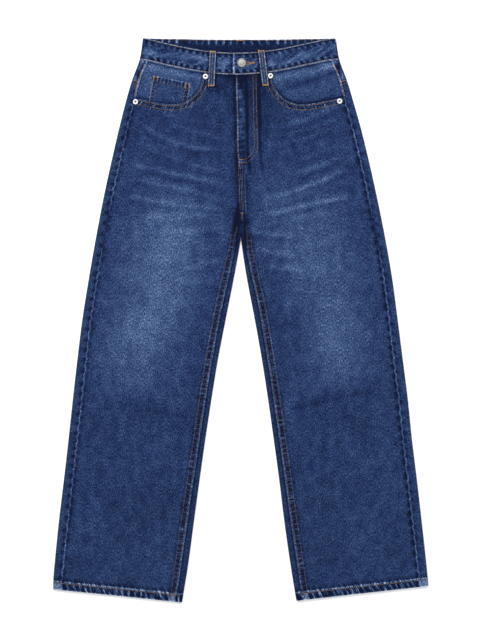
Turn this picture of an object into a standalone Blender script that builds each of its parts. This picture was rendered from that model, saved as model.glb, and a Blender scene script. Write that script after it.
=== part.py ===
"""Baggy five-pocket jeans laid flat on their back, each cut piece its own thin wall.

X runs to the wearer's left, Y up towards the waist, Z up from the surface they lie on.
A drop is a distance down the garment from the back waist edge. Sizes are in metres.
"""

import math
from collections import namedtuple

import bmesh
import bpy
import numpy as np

RIGHT = -1  # the wearer's right lies at -X
LEFT = 1
SIDES = ((RIGHT, "right"), (LEFT, "left"))

# Driving dimensions
LENGTH = 1.044  # back waist edge to the lowest hem corner
CLOTH = 0.0014  # wall of the denim
SEAM = 0.0003  # between two pieces at a seam, and between pieces that lie on each other
SLACK = 0.0001  # added to SEAM where one piece lies on another
WAIST_SEAM = 0.0005  # below the waistband, whose edge curves
FOLD = 0.0034  # how far a side fold bulges past the flat cloth
FOLD_STEPS = 4
FOLD_REACH = 0.045  # from a fold to where the cloth lies at its middle height
CROTCH_POINT = 0.341  # drop where the front rise meets the inseams
CROTCH_FOLD = 0.3726  # drop where the legs part
CROTCH_FADE = 0.05  # share of the leg over which sections straighten below the crotch
LEG_OUTER = 0.345  # drop of the first leg section at the side fold
HEM_OUTER = {RIGHT: 1.0200, LEFT: 1.0140}  # drops of the hem's two corners
HEM_INNER = {RIGHT: 1.0440, LEFT: 1.0410}
HEM_DEPTH = 0.014
HEM_WALL = 0.0026  # the hem is turned up twice
STRIP_TILT = 0.0015  # the hem's slope across a strip beside a seam
BAND_HEIGHT = 0.040
BAND_WALL = 0.0026  # two layers of denim
BAND_SEAT = 0.0074  # height of the waistband's outer face at the sides
BAND_LIFT = 0.0028  # how much higher it lies at the lap
BAND_END = -0.0141  # where the upper end of the waistband stops
BAND_UNDER_END = 0.031
BACK_DIP = 0.0025  # how far the waist edge dips at the centre back
POCKET_CENTRE = -0.0064  # the pocket mouths mirror about this line
FLY_END = 0.247  # drop where the fly lap becomes the front rise
UNDERLAP = 0.014  # of the right front below the left one
FACING_DROPS = {RIGHT: 0.0034, LEFT: 0.0020}  # how far a facing lies below the front at the mouth
FACING_TUCK = 0.011  # how far a facing runs on below the front
COIN_WALL = 0.0012
YOKE_SIDE = 0.0795  # drop of the yoke's seam at the side fold
YOKE_SEAM_TILT = 0.004
YOKE_BACK = 0.108  # and at the centre back
LOOP_WALL = 0.0014
LOOP_WIDTH = 0.011
BACK_LOOP_START = 0.0025
BACK_LOOP_END = 0.062
BACK_POCKET_WALL = 0.0014
BACK_POCKET_X = 0.100
BACK_POCKET_DROP = 0.146  # its top edge
BACK_POCKET_HALF = 0.074
BACK_POCKET_DEPTH = 0.165

# The flat garment: half its width, how far its centre lies off X = 0, the back panel's
# strip between side fold and side seam, and the height of the cloth at its folds and
# in the middle of a panel.
Width = namedtuple("Width", "drop half sway strip edge middle")
WIDTHS = [
    Width(0.000, 0.1784, -0.0026, 0.0140, 0.0072, 0.0074),
    Width(0.040, 0.1850, -0.0024, 0.0140, 0.0072, 0.0076),
    Width(0.077, 0.1987, -0.0024, 0.0132, 0.0072, 0.0083),
    Width(0.114, 0.2096, -0.0022, 0.0150, 0.0072, 0.0083),
    Width(0.151, 0.2197, -0.0016, 0.0155, 0.0070, 0.0074),
    Width(0.225, 0.2377, -0.0010, 0.0158, 0.0066, 0.0064),
    Width(0.299, 0.2539, -0.0008, 0.0158, 0.0065, 0.0062),
    Width(0.373, 0.2683, -0.0004, 0.0158, 0.0065, 0.0059),
    Width(0.447, 0.2811, -0.0005, 0.0158, 0.0065, 0.0056),
    Width(0.521, 0.2919, -0.0014, 0.0160, 0.0064, 0.0055),
    Width(0.595, 0.3012, -0.0013, 0.0168, 0.0064, 0.0054),
    Width(0.669, 0.3101, -0.0008, 0.0170, 0.0064, 0.0054),
    Width(0.743, 0.3179, -0.0010, 0.0165, 0.0063, 0.0054),
    Width(0.817, 0.3267, -0.0007, 0.0168, 0.0063, 0.0054),
    Width(0.891, 0.3354, -0.0009, 0.0170, 0.0063, 0.0055),
    Width(0.965, 0.3432, -0.0006, 0.0166, 0.0064, 0.0058),
    Width(1.002, 0.3466, -0.0003, 0.0163, 0.0065, 0.0062),
    Width(1.045, 0.3475, 0.0010, 0.0163, 0.0066, 0.0066),
]

# The gap between the legs, and the inseams either side of it.
Gap = namedtuple("Gap", "drop half sway")
GAPS = [
    Gap(0.3726, 0.0002, 0.0002),
    Gap(0.391, 0.0029, -0.0001),
    Gap(0.447, 0.0125, -0.0008),
    Gap(0.521, 0.0269, -0.0010),
    Gap(0.595, 0.0406, -0.0016),
    Gap(0.669, 0.0524, -0.0019),
    Gap(0.743, 0.0632, -0.0023),
    Gap(0.817, 0.0735, -0.0025),
    Gap(0.891, 0.0831, -0.0030),
    Gap(0.965, 0.0932, -0.0027),
    Gap(1.045, 0.1060, -0.0027),
]
INSEAMS = [
    Gap(0.341, 0.0000, 0.0033),
    Gap(0.348, 0.0050, 0.0022),
    Gap(0.358, 0.0074, 0.0012),
    Gap(0.382, 0.0104, -0.0002),
    Gap(0.430, 0.0200, -0.0006),
    Gap(0.484, 0.0322, -0.0007),
    Gap(0.595, 0.0524, -0.0016),
    Gap(0.743, 0.0750, -0.0023),
    Gap(0.891, 0.0964, -0.0030),
    Gap(1.045, 0.1190, -0.0027),
]

# How far the waist edge dips across the front.
Dip = namedtuple("Dip", "x depth")
FRONT_DIPS = [
    Dip(-0.1784, 0.0000),
    Dip(-0.1650, 0.0030),
    Dip(-0.1400, 0.0092),
    Dip(-0.1100, 0.0157),
    Dip(-0.0800, 0.0212),
    Dip(-0.0500, 0.0253),
    Dip(-0.0150, 0.0274),
    Dip(0.0200, 0.0265),
    Dip(0.0500, 0.0233),
    Dip(0.0800, 0.0185),
    Dip(0.1100, 0.0122),
    Dip(0.1400, 0.0059),
    Dip(0.1580, 0.0020),
    Dip(0.1760, 0.0000),
]

# The centre front: fly edge above, front rise below.
Centre = namedtuple("Centre", "drop x")
CENTRE_FRONT = [
    Centre(0.068, -0.0090),
    Centre(0.150, -0.0068),
    Centre(0.225, -0.0044),
    Centre(0.247, -0.0012),
    Centre(0.299, 0.0011),
    Centre(0.341, 0.0033),
]

# The pocket mouth, from the side seam to the waistband: reach is from POCKET_CENTRE.
Mouth = namedtuple("Mouth", "reach drop")
MOUTH = [
    Mouth(0.1940, 0.1110),
    Mouth(0.1780, 0.1140),
    Mouth(0.1540, 0.1187),
    Mouth(0.1320, 0.1225),
    Mouth(0.1140, 0.1228),
    Mouth(0.0990, 0.1195),
    Mouth(0.0870, 0.1130),
    Mouth(0.0770, 0.1035),
    Mouth(0.0692, 0.0910),
    Mouth(0.0640, 0.0775),
]
MOUTH_TOP_REACH = 0.0612

# The largest folds: a crest from one end to the other, bowed down in the middle.
Crease = namedtuple("Crease", "x drop end_x end_drop bow width height")
CREASES = [
    Crease(-0.2400, 0.668, -0.0860, 0.702, 0.005, 0.012, -0.0011),  # knees
    Crease(-0.2300, 0.648, -0.1050, 0.680, 0.006, 0.014, 0.0006),
    Crease(0.0930, 0.688, 0.2580, 0.652, -0.003, 0.012, -0.0011),
    Crease(0.1050, 0.668, 0.2480, 0.634, -0.003, 0.014, 0.0006),
    Crease(-0.2080, 0.230, -0.1000, 0.262, 0.006, 0.010, 0.0007),  # hips
    Crease(-0.2230, 0.292, -0.0900, 0.322, 0.006, 0.011, 0.0007),
    Crease(0.0850, 0.262, 0.1990, 0.228, 0.006, 0.010, 0.0007),
    Crease(0.0700, 0.322, 0.2180, 0.290, 0.006, 0.011, 0.0007),
]

# Shares of the front rise, the back rise and the legs at which a section is taken.
RISE_SHARES = (0, 0.09, 0.18, 0.27, 0.36, 0.45, 0.53, 0.60)
RISE_SHARES += (0.63, 0.645, 0.657, 0.68, 0.72, 0.79, 0.86, 0.93)
BACK_RISE_SHARES = (0, 0.06, 0.12, 0.18, 0.25, 0.35, 0.46, 0.57, 0.67, 0.75, 0.82, 0.91)
LEG_SHARES = (0, 0.01, 0.025, 0.045, 0.08, 0.13, 0.19, 0.25, 0.31, 0.37, 0.41, 0.44, 0.46, 0.475, 0.49)
LEG_SHARES += (0.505, 0.52, 0.545, 0.59, 0.65, 0.71, 0.77, 0.83, 0.89, 0.94)
HEM_START = 1 - HEM_DEPTH / (HEM_OUTER[RIGHT] - LEG_OUTER)
HEM_SHARES = (HEM_START - 0.001, HEM_START + 0.002, 1.0)

# Colours and finishes
DENIM = (0.030, 0.056, 0.142)
DENIM_BACK = (0.026, 0.048, 0.122)
DENIM_BAND = (0.034, 0.060, 0.145)
STEEL = (0.62, 0.63, 0.66)


def smooth(table, column):
    """Reads one column of a table as a smooth curve against its first column."""
    keys = [row[0] for row in table]
    values = [getattr(row, column) for row in table]
    slopes = np.gradient(values, keys)

    def read(key):
        key = min(max(key, keys[0]), keys[-1])
        i = min(int(np.searchsorted(keys, key, side="right")), len(keys) - 1) - 1
        span = keys[i + 1] - keys[i]
        t = (key - keys[i]) / span
        rising = t * t * (3 - 2 * t)
        return float(
            values[i] * (1 - rising)
            + values[i + 1] * rising
            + span * t * (1 - t) * ((1 - t) * slopes[i] - t * slopes[i + 1])
        )

    return read


def ease(t):
    """0 below 0, 1 above 1 and smooth between."""
    t = min(max(t, 0.0), 1.0)
    return t * t * (3 - 2 * t)


def lerp(a, b, t):
    return a + (b - a) * t


half_width = smooth(WIDTHS, "half")
sway = smooth(WIDTHS, "sway")
strip_width = smooth(WIDTHS, "strip")
edge_height = smooth(WIDTHS, "edge")
middle_height = smooth(WIDTHS, "middle")
gap_half = smooth(GAPS, "half")
gap_sway = smooth(GAPS, "sway")
inseam_half = smooth(INSEAMS, "half")
inseam_sway = smooth(INSEAMS, "sway")
centre_front = smooth(CENTRE_FRONT, "x")
front_dip = smooth(FRONT_DIPS, "depth")


def fold_x(side, drop):
    """The side fold."""
    return sway(drop) + side * half_width(drop)


def seam_x(side, drop):
    """The side seam, on top of the flat garment."""
    return fold_x(side, drop) - side * strip_width(drop)


def gap_x(side, drop):
    """The inner fold of a leg."""
    return gap_sway(drop) + side * gap_half(drop)


def inseam_x(side, drop):
    return inseam_sway(drop) + side * inseam_half(drop)


def back_dip(x):
    reach = min(abs(x) / half_width(0), 1)
    return BACK_DIP * (1 - reach**2)


# ---------------------------------------------------------------- heights of the cloth

Bump = namedtuple("Bump", "x start end half reach height")
UNDER_BUMPS = [
    Bump(
        x=side * BACK_POCKET_X,
        start=BACK_POCKET_DROP - 0.012,
        end=BACK_POCKET_DROP + BACK_POCKET_DEPTH + 0.010,
        half=BACK_POCKET_HALF + 0.004,
        reach=0.022,
        height=BACK_POCKET_WALL + SEAM + SLACK,
    )
    for side in (RIGHT, LEFT)
]
BACK_LOOPS = (
    (-0.110, "belt_loop_back_right"),
    (0.110, "belt_loop_back_left"),
    (0.0, "belt_loop_centre_back"),
)
UNDER_BUMPS += [
    Bump(
        x=x,
        start=-0.010,
        end=BACK_LOOP_END + 0.006,
        half=LOOP_WIDTH / 2 + 0.003,
        reach=0.018,
        height=LOOP_WALL + SEAM + SLACK,
    )
    for x, _ in BACK_LOOPS
]


def underside(x, drop):
    """How far the back lies above the surface, over what is sewn on behind it."""
    lift = 0.0
    for bump in UNDER_BUMPS:
        across = max(abs(x - bump.x) - bump.half, 0)
        along = max(bump.start - drop, drop - bump.end, 0)
        lift = max(lift, bump.height * (1 - ease(math.hypot(across, along) / bump.reach)))
    return lift


def crease_height(x, drop):
    total = 0.0
    for crease in CREASES:
        along_x = crease.end_x - crease.x
        along_drop = crease.end_drop - crease.drop
        length = math.hypot(along_x, along_drop)
        t = ((x - crease.x) * along_x + (drop - crease.drop) * along_drop) / length**2
        if not 0 < t < 1:
            continue
        off = ((drop - crease.drop) * along_x - (x - crease.x) * along_drop) / length
        off -= crease.bow * 4 * t * (1 - t) * math.copysign(1, along_x)
        total += crease.height * math.exp(-((off / crease.width) ** 2)) * ease(4 * t) * ease(4 * (1 - t))
    return total


LAP_MOUND = 0.0008  # how much higher the front lies round the waistband's lap
LAP_DROP = 0.055
LAP_REACH = 0.045


def top(x, drop):
    """Height of the front's outer face."""
    side = LEFT if x > 0 else RIGHT
    to_fold = side * (fold_x(side, drop) - x)
    if drop > CROTCH_FOLD:
        to_gap = side * (x - gap_x(side, drop))
    else:
        to_gap = math.hypot(x, CROTCH_FOLD - drop)
    near_fold = 1 - ease(max(min(to_fold, to_gap) - FOLD, 0) / FOLD_REACH)
    height = lerp(middle_height(drop), edge_height(drop), near_fold)
    from_lap = math.hypot(x, drop - LAP_DROP) / LAP_REACH
    mound = LAP_MOUND * math.exp(-(from_lap**2))
    return height + mound + crease_height(x, drop)


def band_top(x):
    """Height of the waistband's outer face across the front, below its upper end."""
    return BAND_SEAT + BAND_LIFT * (1 - ease((abs(x - 0.008) - 0.026) / 0.032))


def mouth_drop(side, x):
    """Drop of the pocket mouth's edge at an x."""
    rows = sorted(MOUTH)
    reach = side * (x - POCKET_CENTRE)
    return float(np.interp(reach, [row.reach for row in rows], [row.drop for row in rows]))


def above_mouth(side, x, drop):
    """How far up into the pocket mouth a point lies, and 0 below it."""
    reach = side * (x - POCKET_CENTRE)
    return max(min(mouth_drop(side, x) - drop, reach - MOUTH_TOP_REACH), 0.0)


def facing_top(side, x, drop):
    """Height of the pocket facing: deep at the mouth, level with the side seam's strip."""
    sunk = FACING_DROPS[side] * (1 - 0.35 * ease(above_mouth(side, x, drop) / 0.05))
    from_seam = side * (seam_x(side, drop) - x)
    if above_mouth(side, x, drop) > 0:
        clear = ease(above_mouth(side, x, drop) / 0.014 - 0.2)
        sunk *= 1 - clear * (1 - ease(from_seam / 0.012))
    return top(x, drop) - sunk


# ------------------------------------------------------------------------- the builders

for old in list(bpy.data.objects):
    bpy.data.objects.remove(old, do_unlink=True)

jeans = bpy.data.collections.new("baggy_jeans")
bpy.context.scene.collection.children.link(jeans)


def finish(name, colour, roughness, metallic):
    material = bpy.data.materials.new(name)
    material.use_nodes = True
    shader = material.node_tree.nodes["Principled BSDF"]
    shader.inputs["Base Color"].default_value = (*colour, 1)
    shader.inputs["Roughness"].default_value = roughness
    shader.inputs["Metallic"].default_value = metallic
    return material


def add_object(name, bm, material):
    mesh = bpy.data.meshes.new(name)
    bm.to_mesh(mesh)
    bm.free()
    mesh.materials.append(material)
    mesh.shade_smooth()
    mesh.set_sharp_from_angle(angle=math.radians(50))
    obj = bpy.data.objects.new(name, mesh)
    jeans.objects.link(obj)
    return obj


def wall(name, sections, colour, thickness=CLOTH, thin=None, faces_up=True):
    """Cloth through a list of sections, each a list of (x, drop, height) points.

    A None leaves that corner of the grid out. thin gives a section's share of the
    thickness, where it is less than the whole.
    """
    last_row, last_column = len(sections) - 1, len(sections[0]) - 1
    bm = bmesh.new()
    bmesh.ops.create_grid(bm, x_segments=last_column, y_segments=last_row, size=1)
    shares = bm.verts.layers.deform.verify()
    unused = []
    for vertex in bm.verts:
        column = round((vertex.co.x + 1) / 2 * last_column)
        row = round((vertex.co.y + 1) / 2 * last_row)
        point = sections[row][column]
        if point is None:
            unused.append(vertex)
            continue
        x, drop, height = point
        vertex.co = (x, LENGTH / 2 - drop, height)
        vertex[shares][0] = thin(row) if thin else 1
    bmesh.ops.delete(bm, geom=unused, context="VERTS")
    bm.normal_update()
    bm.faces.ensure_lookup_table()
    if (bm.faces[0].normal.z > 0) != faces_up:
        bmesh.ops.reverse_faces(bm, faces=bm.faces)
    obj = add_object(name, bm, finish(name, colour, 0.85, 0))
    obj.vertex_groups.new(name="cloth")
    solid = obj.modifiers.new("cloth", "SOLIDIFY")
    solid.thickness = thickness
    solid.offset = -1
    solid.use_even_offset = True
    solid.vertex_group = "cloth"
    return obj


def fold_arc(upper, lower, outward):
    """Points round a fold, from the top layer to the bottom one."""
    points = []
    for k in range(1, FOLD_STEPS):
        angle = math.pi * k / FOLD_STEPS
        share = (1 - math.cos(angle)) / 2
        bulge = FOLD * math.sin(angle)
        points.append(
            (
                lerp(upper[0], lower[0], share) + outward[0] * bulge,
                lerp(upper[1], lower[1], share) + outward[1] * bulge,
                lerp(upper[2], lower[2], share),
            )
        )
    return points


# ------------------------------------------------------------------ backs and yokes

# Where the bottom layer's columns lie, from the side fold in: beside what it passes over.
YOKE_SHARES = (0, 0.33, 0.67, 1)
YOKE_COLUMNS = (0.160, 0.1365, 0.1185, 0.1015, 0.083, 0.0265, 0.0085)
POCKET_COLUMNS = (0.188, 0.177, 0.150, 0.122, 0.093, 0.058, 0.022)


def wrap(side, drop_at):
    """The strip beside the side seam and the side fold, down to the bottom layer.

    drop_at gives the section's drop at an x on the top layer.
    """
    fold_drop = drop_at(fold_x(side, drop_at(side)))
    start = fold_x(side, fold_drop) - side * FOLD
    seam_drop = drop_at(seam_x(side, fold_drop))
    seam = seam_x(side, seam_drop) + side * SEAM / 2
    strip = [(x, drop_at(x)) for x in (seam, (seam + start) / 2, start)]
    points = [(*point, top(*point)) for point in strip]
    lower = (start, fold_drop, underside(start, fold_drop))
    return points + fold_arc(points[-1], lower, (side, 0)) + [lower]


def bottom(side, start, end_x, drop_at, columns, evenness):
    """The bottom layer from the side fold to an x, with both ends left out.

    Its columns lie at the given distances from X = 0, or evenly where evenness is 1.
    """
    points = []
    for k, column in enumerate(columns, 1):
        even = k / (len(columns) + 1)
        placed = (side * column - start) / (end_x - start)
        x = lerp(start, end_x, lerp(placed, even, evenness))
        points.append((x, drop_at(x), underside(x, drop_at(x))))
    return points


def rise_section(side, top_drop, bottom_drop, columns, evenness=0):
    """A section from the side seam round to the centre back seam."""
    points = wrap(side, top_drop)
    end = side * SEAM / 2
    points += bottom(side, points[-1][0], end, bottom_drop, columns, evenness)
    return points + [(end, bottom_drop(end), underside(end, bottom_drop(end)))]


def leg_drops(side, share):
    """Drops of a leg section at the side fold, the inseam and the inner fold."""
    outer = lerp(LEG_OUTER, HEM_OUTER[side], share)
    inseam = lerp(CROTCH_POINT, HEM_INNER[side] - STRIP_TILT, share)
    straight = lerp(CROTCH_POINT, HEM_INNER[side], share)
    inner = straight + (CROTCH_FOLD - CROTCH_POINT) * math.exp(-share / CROTCH_FADE)
    return outer, inseam, inner


def leg_section(side, share):
    """A section from the side seam round the leg to the inseam."""
    outer, inseam, inner = leg_drops(side, share)
    outer_x = fold_x(side, outer)

    def top_drop(x):
        return outer + STRIP_TILT * share * side * (outer_x - x) / strip_width(outer)

    turn = ease(share / LEG_SHARES[3]) * math.pi / 2
    outward = (-side * math.sin(turn), math.cos(turn))
    fold = (gap_x(side, inner) + side * SEAM / 2, inner)
    start = (fold[0] - outward[0] * FOLD, fold[1] - outward[1] * FOLD)
    lower = (*start, underside(*start))
    upper = (*start, top(*start))
    end_x = inseam_x(side, inseam) - side * SEAM / 2
    if share == 0:
        end_x = inseam_x(side, inseam) + side * SEAM / 2
        inseam += SEAM
    middle = ((start[0] + end_x) / 2, (start[1] + inseam) / 2)

    def bottom_drop(x):
        return lerp(outer, start[1], (x - outer_x) / (start[0] - outer_x))

    points = wrap(side, top_drop)
    points += bottom(side, points[-1][0], start[0], bottom_drop, POCKET_COLUMNS, 1) + [lower]
    points += fold_arc(upper, lower, outward)[::-1] + [upper]
    return points + [(*middle, top(*middle)), (end_x, inseam, top(end_x, inseam))]


def yoke_seam(x):
    """Drop of the yoke's seam on the bottom layer."""
    return lerp(YOKE_BACK, YOKE_SIDE, abs(x) / half_width(YOKE_SIDE))


def yoke_seam_top(x):
    """Drop of the yoke's seam on the strip beside the side seam."""
    side = LEFT if x > 0 else RIGHT
    from_fold = side * (fold_x(side, YOKE_SIDE) - x) / strip_width(YOKE_SIDE)
    return YOKE_SIDE + YOKE_SEAM_TILT * max(from_fold, 0)


def between(upper, lower, share):
    """A drop line part of the way from one line to another."""
    return lambda x: lerp(upper(x), lower(x), share)


def hem_share(first_leg_row):
    """The wall's share of the hem's thickness, by row."""

    def share(row):
        return 1 if row - first_leg_row > len(LEG_SHARES) else CLOTH / HEM_WALL

    return share


for side, word in SIDES:
    sections = []
    for share in YOKE_SHARES:
        on_top = between(lambda x: front_dip(x) + BAND_HEIGHT + WAIST_SEAM, yoke_seam_top, share)
        below = between(lambda x: back_dip(x) + BAND_HEIGHT + WAIST_SEAM, yoke_seam, share)
        sections.append(rise_section(side, on_top, below, YOKE_COLUMNS))
    wall(f"yoke_{word}", sections, DENIM_BACK)

    crotch_drop = leg_drops(side, 0)[2] - FOLD

    def crotch_line(x):
        return lerp(crotch_drop, LEG_OUTER, abs(x) / half_width(LEG_OUTER))

    legs = [leg_section(side, share) for share in LEG_SHARES + HEM_SHARES]
    rises = []
    for share in BACK_RISE_SHARES:
        on_top = between(lambda x: yoke_seam_top(x) + SEAM, lambda x: LEG_OUTER, share)
        below = between(lambda x: yoke_seam(x) + SEAM, crotch_line, share)
        section = rise_section(side, on_top, below, POCKET_COLUMNS, ease((share - 0.8) / 0.2))
        rises.append(section + [None] * (len(legs[0]) - len(section)))
    wall(f"back_panel_{word}", rises + legs, DENIM, HEM_WALL, hem_share(len(rises)))

# --------------------------------------------------------------------------- fronts

NEAR_CENTRE = (-0.013, -0.001)  # columns either side of the fly lap's step
LAP_STEP = 0.011  # over which the right front sinks below the left one
LAP_END = 0.012  # over which it rises again at the fly's foot


def underlap(drop):
    """How far the right front runs on below the left one."""
    if drop >= FLY_END:
        return -SEAM / 2
    round_foot = max((drop - (FLY_END - UNDERLAP)) / UNDERLAP, 0)
    return UNDERLAP * math.sqrt(1 - round_foot**2)


def lap_depth(x, drop):
    """How far the right front lies below the left one, from just before the fly edge."""
    step = ease((x - centre_front(drop) + LAP_STEP + 0.001) / LAP_STEP)
    return (CLOTH + SEAM + SLACK) * step * (1 - ease((drop - FLY_END - 0.001) / LAP_END))


def front_top_edge(side):
    """The front's upper edge, from the side seam along the pocket mouth to the centre."""
    points = [(POCKET_CENTRE + side * row.reach, row.drop) for row in MOUTH]
    points[0] = (seam_x(side, MOUTH[0].drop) - side * SEAM / 2, MOUTH[0].drop)
    start = POCKET_CENTRE + side * MOUTH_TOP_REACH
    line = centre_front(0)
    end = line + (NEAR_CENTRE[0] if side == RIGHT else 0)
    across = [lerp(start, end, k / 3) for k in range(4)]
    if side == RIGHT:
        across += [line + NEAR_CENTRE[1], line + UNDERLAP / 2, line + UNDERLAP]
    return points + [(x, front_dip(x) + BAND_HEIGHT + WAIST_SEAM) for x in across]


def front_sections(side):
    """The front from its upper edge down the rise, then down the leg."""
    edge = front_top_edge(side)
    last = len(edge) - 1
    lapped = 3 if side == RIGHT else 0  # columns that keep beside the fly edge
    main = last - lapped
    crotch_seam = seam_x(side, LEG_OUTER) - side * SEAM / 2
    crotch_end = centre_front(CROTCH_POINT) + side * SEAM / 2
    sections = []
    for share in RISE_SHARES:
        centre_drop = lerp(edge[-1][1], CROTCH_POINT, share)
        line = centre_front(centre_drop)
        if side == RIGHT:
            inner = line + underlap(centre_drop)
            beside = [line + NEAR_CENTRE[0], line + NEAR_CENTRE[1], 0, inner]
            beside[2] = (beside[1] + beside[3]) / 2
        else:
            beside = [line + (SEAM / 2 if centre_drop >= FLY_END else 0)]
        points = []
        for k, (edge_x, edge_drop) in enumerate(edge):
            even = k / last
            drop = lerp(edge_drop, lerp(LEG_OUTER, CROTCH_POINT, even), share)
            even_x = lerp(crotch_seam, crotch_end, even)
            if k > main:
                x = lerp(beside[k - main], even_x, ease((share - 0.7) / 0.3))
            else:
                x = lerp(edge_x, even_x, share)
                at_seam = lerp(edge[0][0], crotch_seam, share)
                last_even = lerp(crotch_seam, crotch_end, main / last)
                at_end = lerp(edge[main][0], last_even, share)
                end = lerp(beside[0], last_even, ease((share - 0.7) / 0.3))
                x += (1 - k / main) * (seam_x(side, drop) - side * SEAM / 2 - at_seam)
                x += k / main * (end - at_end)
            depth = lap_depth(x, centre_drop) if side == RIGHT else 0
            points.append((x, drop, top(x, drop) - depth))
        sections.append(points)
    for share in LEG_SHARES + HEM_SHARES:
        outer_drop, inseam_drop, _ = leg_drops(side, share)
        outer_drop += STRIP_TILT * share
        outer = seam_x(side, outer_drop) - side * SEAM / 2
        inner = inseam_x(side, inseam_drop) + side * SEAM / 2
        points = []
        for k in range(last + 1):
            x = lerp(outer, inner, k / last)
            drop = lerp(outer_drop, inseam_drop, k / last)
            points.append((x, drop, top(x, drop)))
        sections.append(points)
    return sections


for side, word in SIDES:
    wall(f"front_panel_{word}", front_sections(side), DENIM, HEM_WALL, hem_share(len(RISE_SHARES)))

# ------------------------------------------------------- pocket facings, coin pocket

FACING_COLUMNS = (0, 0.015, 0.05, 0.10, 0.25, 0.45, 0.65, 0.85, 1)
FACING_ROWS = (0, 0.2, 0.4, 0.6, 0.75, 0.87, 1)

for side, word in SIDES:
    inner = POCKET_CENTRE + side * (MOUTH_TOP_REACH - FACING_TUCK)
    sections = []
    for share in FACING_ROWS:
        points = []
        for along in FACING_COLUMNS:
            drop = BAND_HEIGHT
            for _ in range(4):  # x and drop follow from each other
                x = lerp(seam_x(side, drop) - side * SEAM / 2, inner, along)
                start = front_dip(x) + BAND_HEIGHT + WAIST_SEAM
                drop = lerp(start, mouth_drop(side, x) + FACING_TUCK, share)
            points.append((x, drop, facing_top(side, x, drop)))
        sections.append(points)
    wall(f"pocket_facing_{word}", sections, DENIM_BACK, CLOTH - SLACK)

COIN_TOP = ((-0.1620, 0.0692), (-0.0925, 0.0842))  # upper corners, x and drop
COIN_BOTTOM = ((-0.1715, 0.1270), (-0.1010, 0.1300))
COIN_STEPS = 5

sections = []
for row in range(COIN_STEPS + 1):
    across = []
    for upper, lower in zip(COIN_TOP, COIN_BOTTOM):
        across.append([lerp(a, b, row / COIN_STEPS) for a, b in zip(upper, lower)])
    points = []
    for column in range(COIN_STEPS + 1):
        x, drop = (lerp(a, b, column / COIN_STEPS) for a, b in zip(*across))
        points.append((x, drop, facing_top(RIGHT, x, drop) + SEAM + SLACK + COIN_WALL))
    sections.append(points)
wall("coin_pocket", sections, DENIM, COIN_WALL)

# --------------------------------------------------------------------- back pockets

POCKET_FOOT = 0.066  # half its width at the lower corners
POCKET_SIDE = 0.140  # depth of its straight sides
POCKET_STEPS = 6

for side, word in SIDES:
    sections = []
    for row in range(POCKET_STEPS + 1):
        points = []
        for column in range(POCKET_STEPS + 1):
            across = column / POCKET_STEPS * 2 - 1
            foot = lerp(BACK_POCKET_DEPTH, POCKET_SIDE, abs(across))
            depth = foot * row / POCKET_STEPS
            half = lerp(BACK_POCKET_HALF, POCKET_FOOT, min(depth / POCKET_SIDE, 1))
            points.append((side * BACK_POCKET_X + across * half, BACK_POCKET_DROP + depth, 0.0))
        sections.append(points)
    wall(f"back_pocket_{word}", sections, DENIM, BACK_POCKET_WALL, faces_up=False)

# ------------------------------------------------------------------------ waistband

BAND_ROWS = (0, 0.5, 1)
SIDE_SHARES = (0.19, 0.31, 0.43, 0.54, 0.64, 0.74, 0.83, 0.90, 0.955, 1)  # of the half width
BACK_STEPS = 22
BAND_STEP = 0.014  # over which the lower end sinks


def band_front(x_share, height_share):
    """A point of the waistband's front, x_share from -1 at the right fold to 1 at the left."""
    depth = BAND_HEIGHT * height_share
    x = sway(depth) + x_share * (half_width(depth) - FOLD)
    return (x, front_dip(x) + depth, band_top(x))


def band_back(x_share, height_share):
    depth = BAND_HEIGHT * height_share
    x = sway(depth) + x_share * (half_width(depth) - FOLD)
    drop = back_dip(x) + depth
    return (x, drop, underside(x, drop))


def band_share(x):
    return (x - sway(0)) / (half_width(0) - FOLD)


def under_depth(x):
    """How far the band's lower end dips to pass below the upper one."""
    return (BAND_WALL + SEAM + SLACK) * ease((x - BAND_END + 0.016) / BAND_STEP)


upper_shares = [band_share(BAND_END), 0.01, 0.10, *SIDE_SHARES]
back_shares = [1 - 2 * k / BACK_STEPS for k in range(BACK_STEPS + 1)]
lower_shares = [-share for share in SIDE_SHARES[::-1]]
for offset in (-0.017, -0.010, -0.002, 0.010, 0.026):
    lower_shares.append(band_share(BAND_END + offset))
lower_shares.append(band_share(BAND_UNDER_END))

columns = []
for row in BAND_ROWS:
    path = [band_front(share, row) for share in upper_shares]
    path += fold_arc(path[-1], band_back(1, row), (LEFT, 0))
    path += [band_back(share, row) for share in back_shares]
    path += fold_arc(band_front(-1, row), path[-1], (RIGHT, 0))[::-1]
    for share in lower_shares:
        x, drop, height = band_front(share, row)
        path.append((x, drop, height - under_depth(x)))
    columns.append(path)
wall("waistband", columns, DENIM_BAND, BAND_WALL)

# ----------------------------------------------------------------------- belt loops

FRONT_LOOPS = (  # upper and lower end: x, drop
    ("belt_loop_front_right", (-0.0514, 0.0235), (-0.0549, 0.0900)),
    ("belt_loop_front_left", (0.0376, 0.0225), (0.0462, 0.0890)),
)
LOOP_ACROSS = (-LOOP_WIDTH / 2, 0, LOOP_WIDTH / 2)
LOOP_STEPS = 9
LOOP_BOW = 0.0008
NEARBY = 0.006


def carried(x, drop):
    """The highest cloth under a loop at a point of its length."""
    nearby = [drop + NEARBY * k / 2 for k in range(-2, 3)]
    across = [x - LOOP_WIDTH / 2, x, x + LOOP_WIDTH / 2]
    heights = [top(at, down) for at in across for down in nearby]
    if drop < front_dip(x) + BAND_HEIGHT + NEARBY:
        heights += [band_top(at) for at in across]
    return max(heights)


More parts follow.
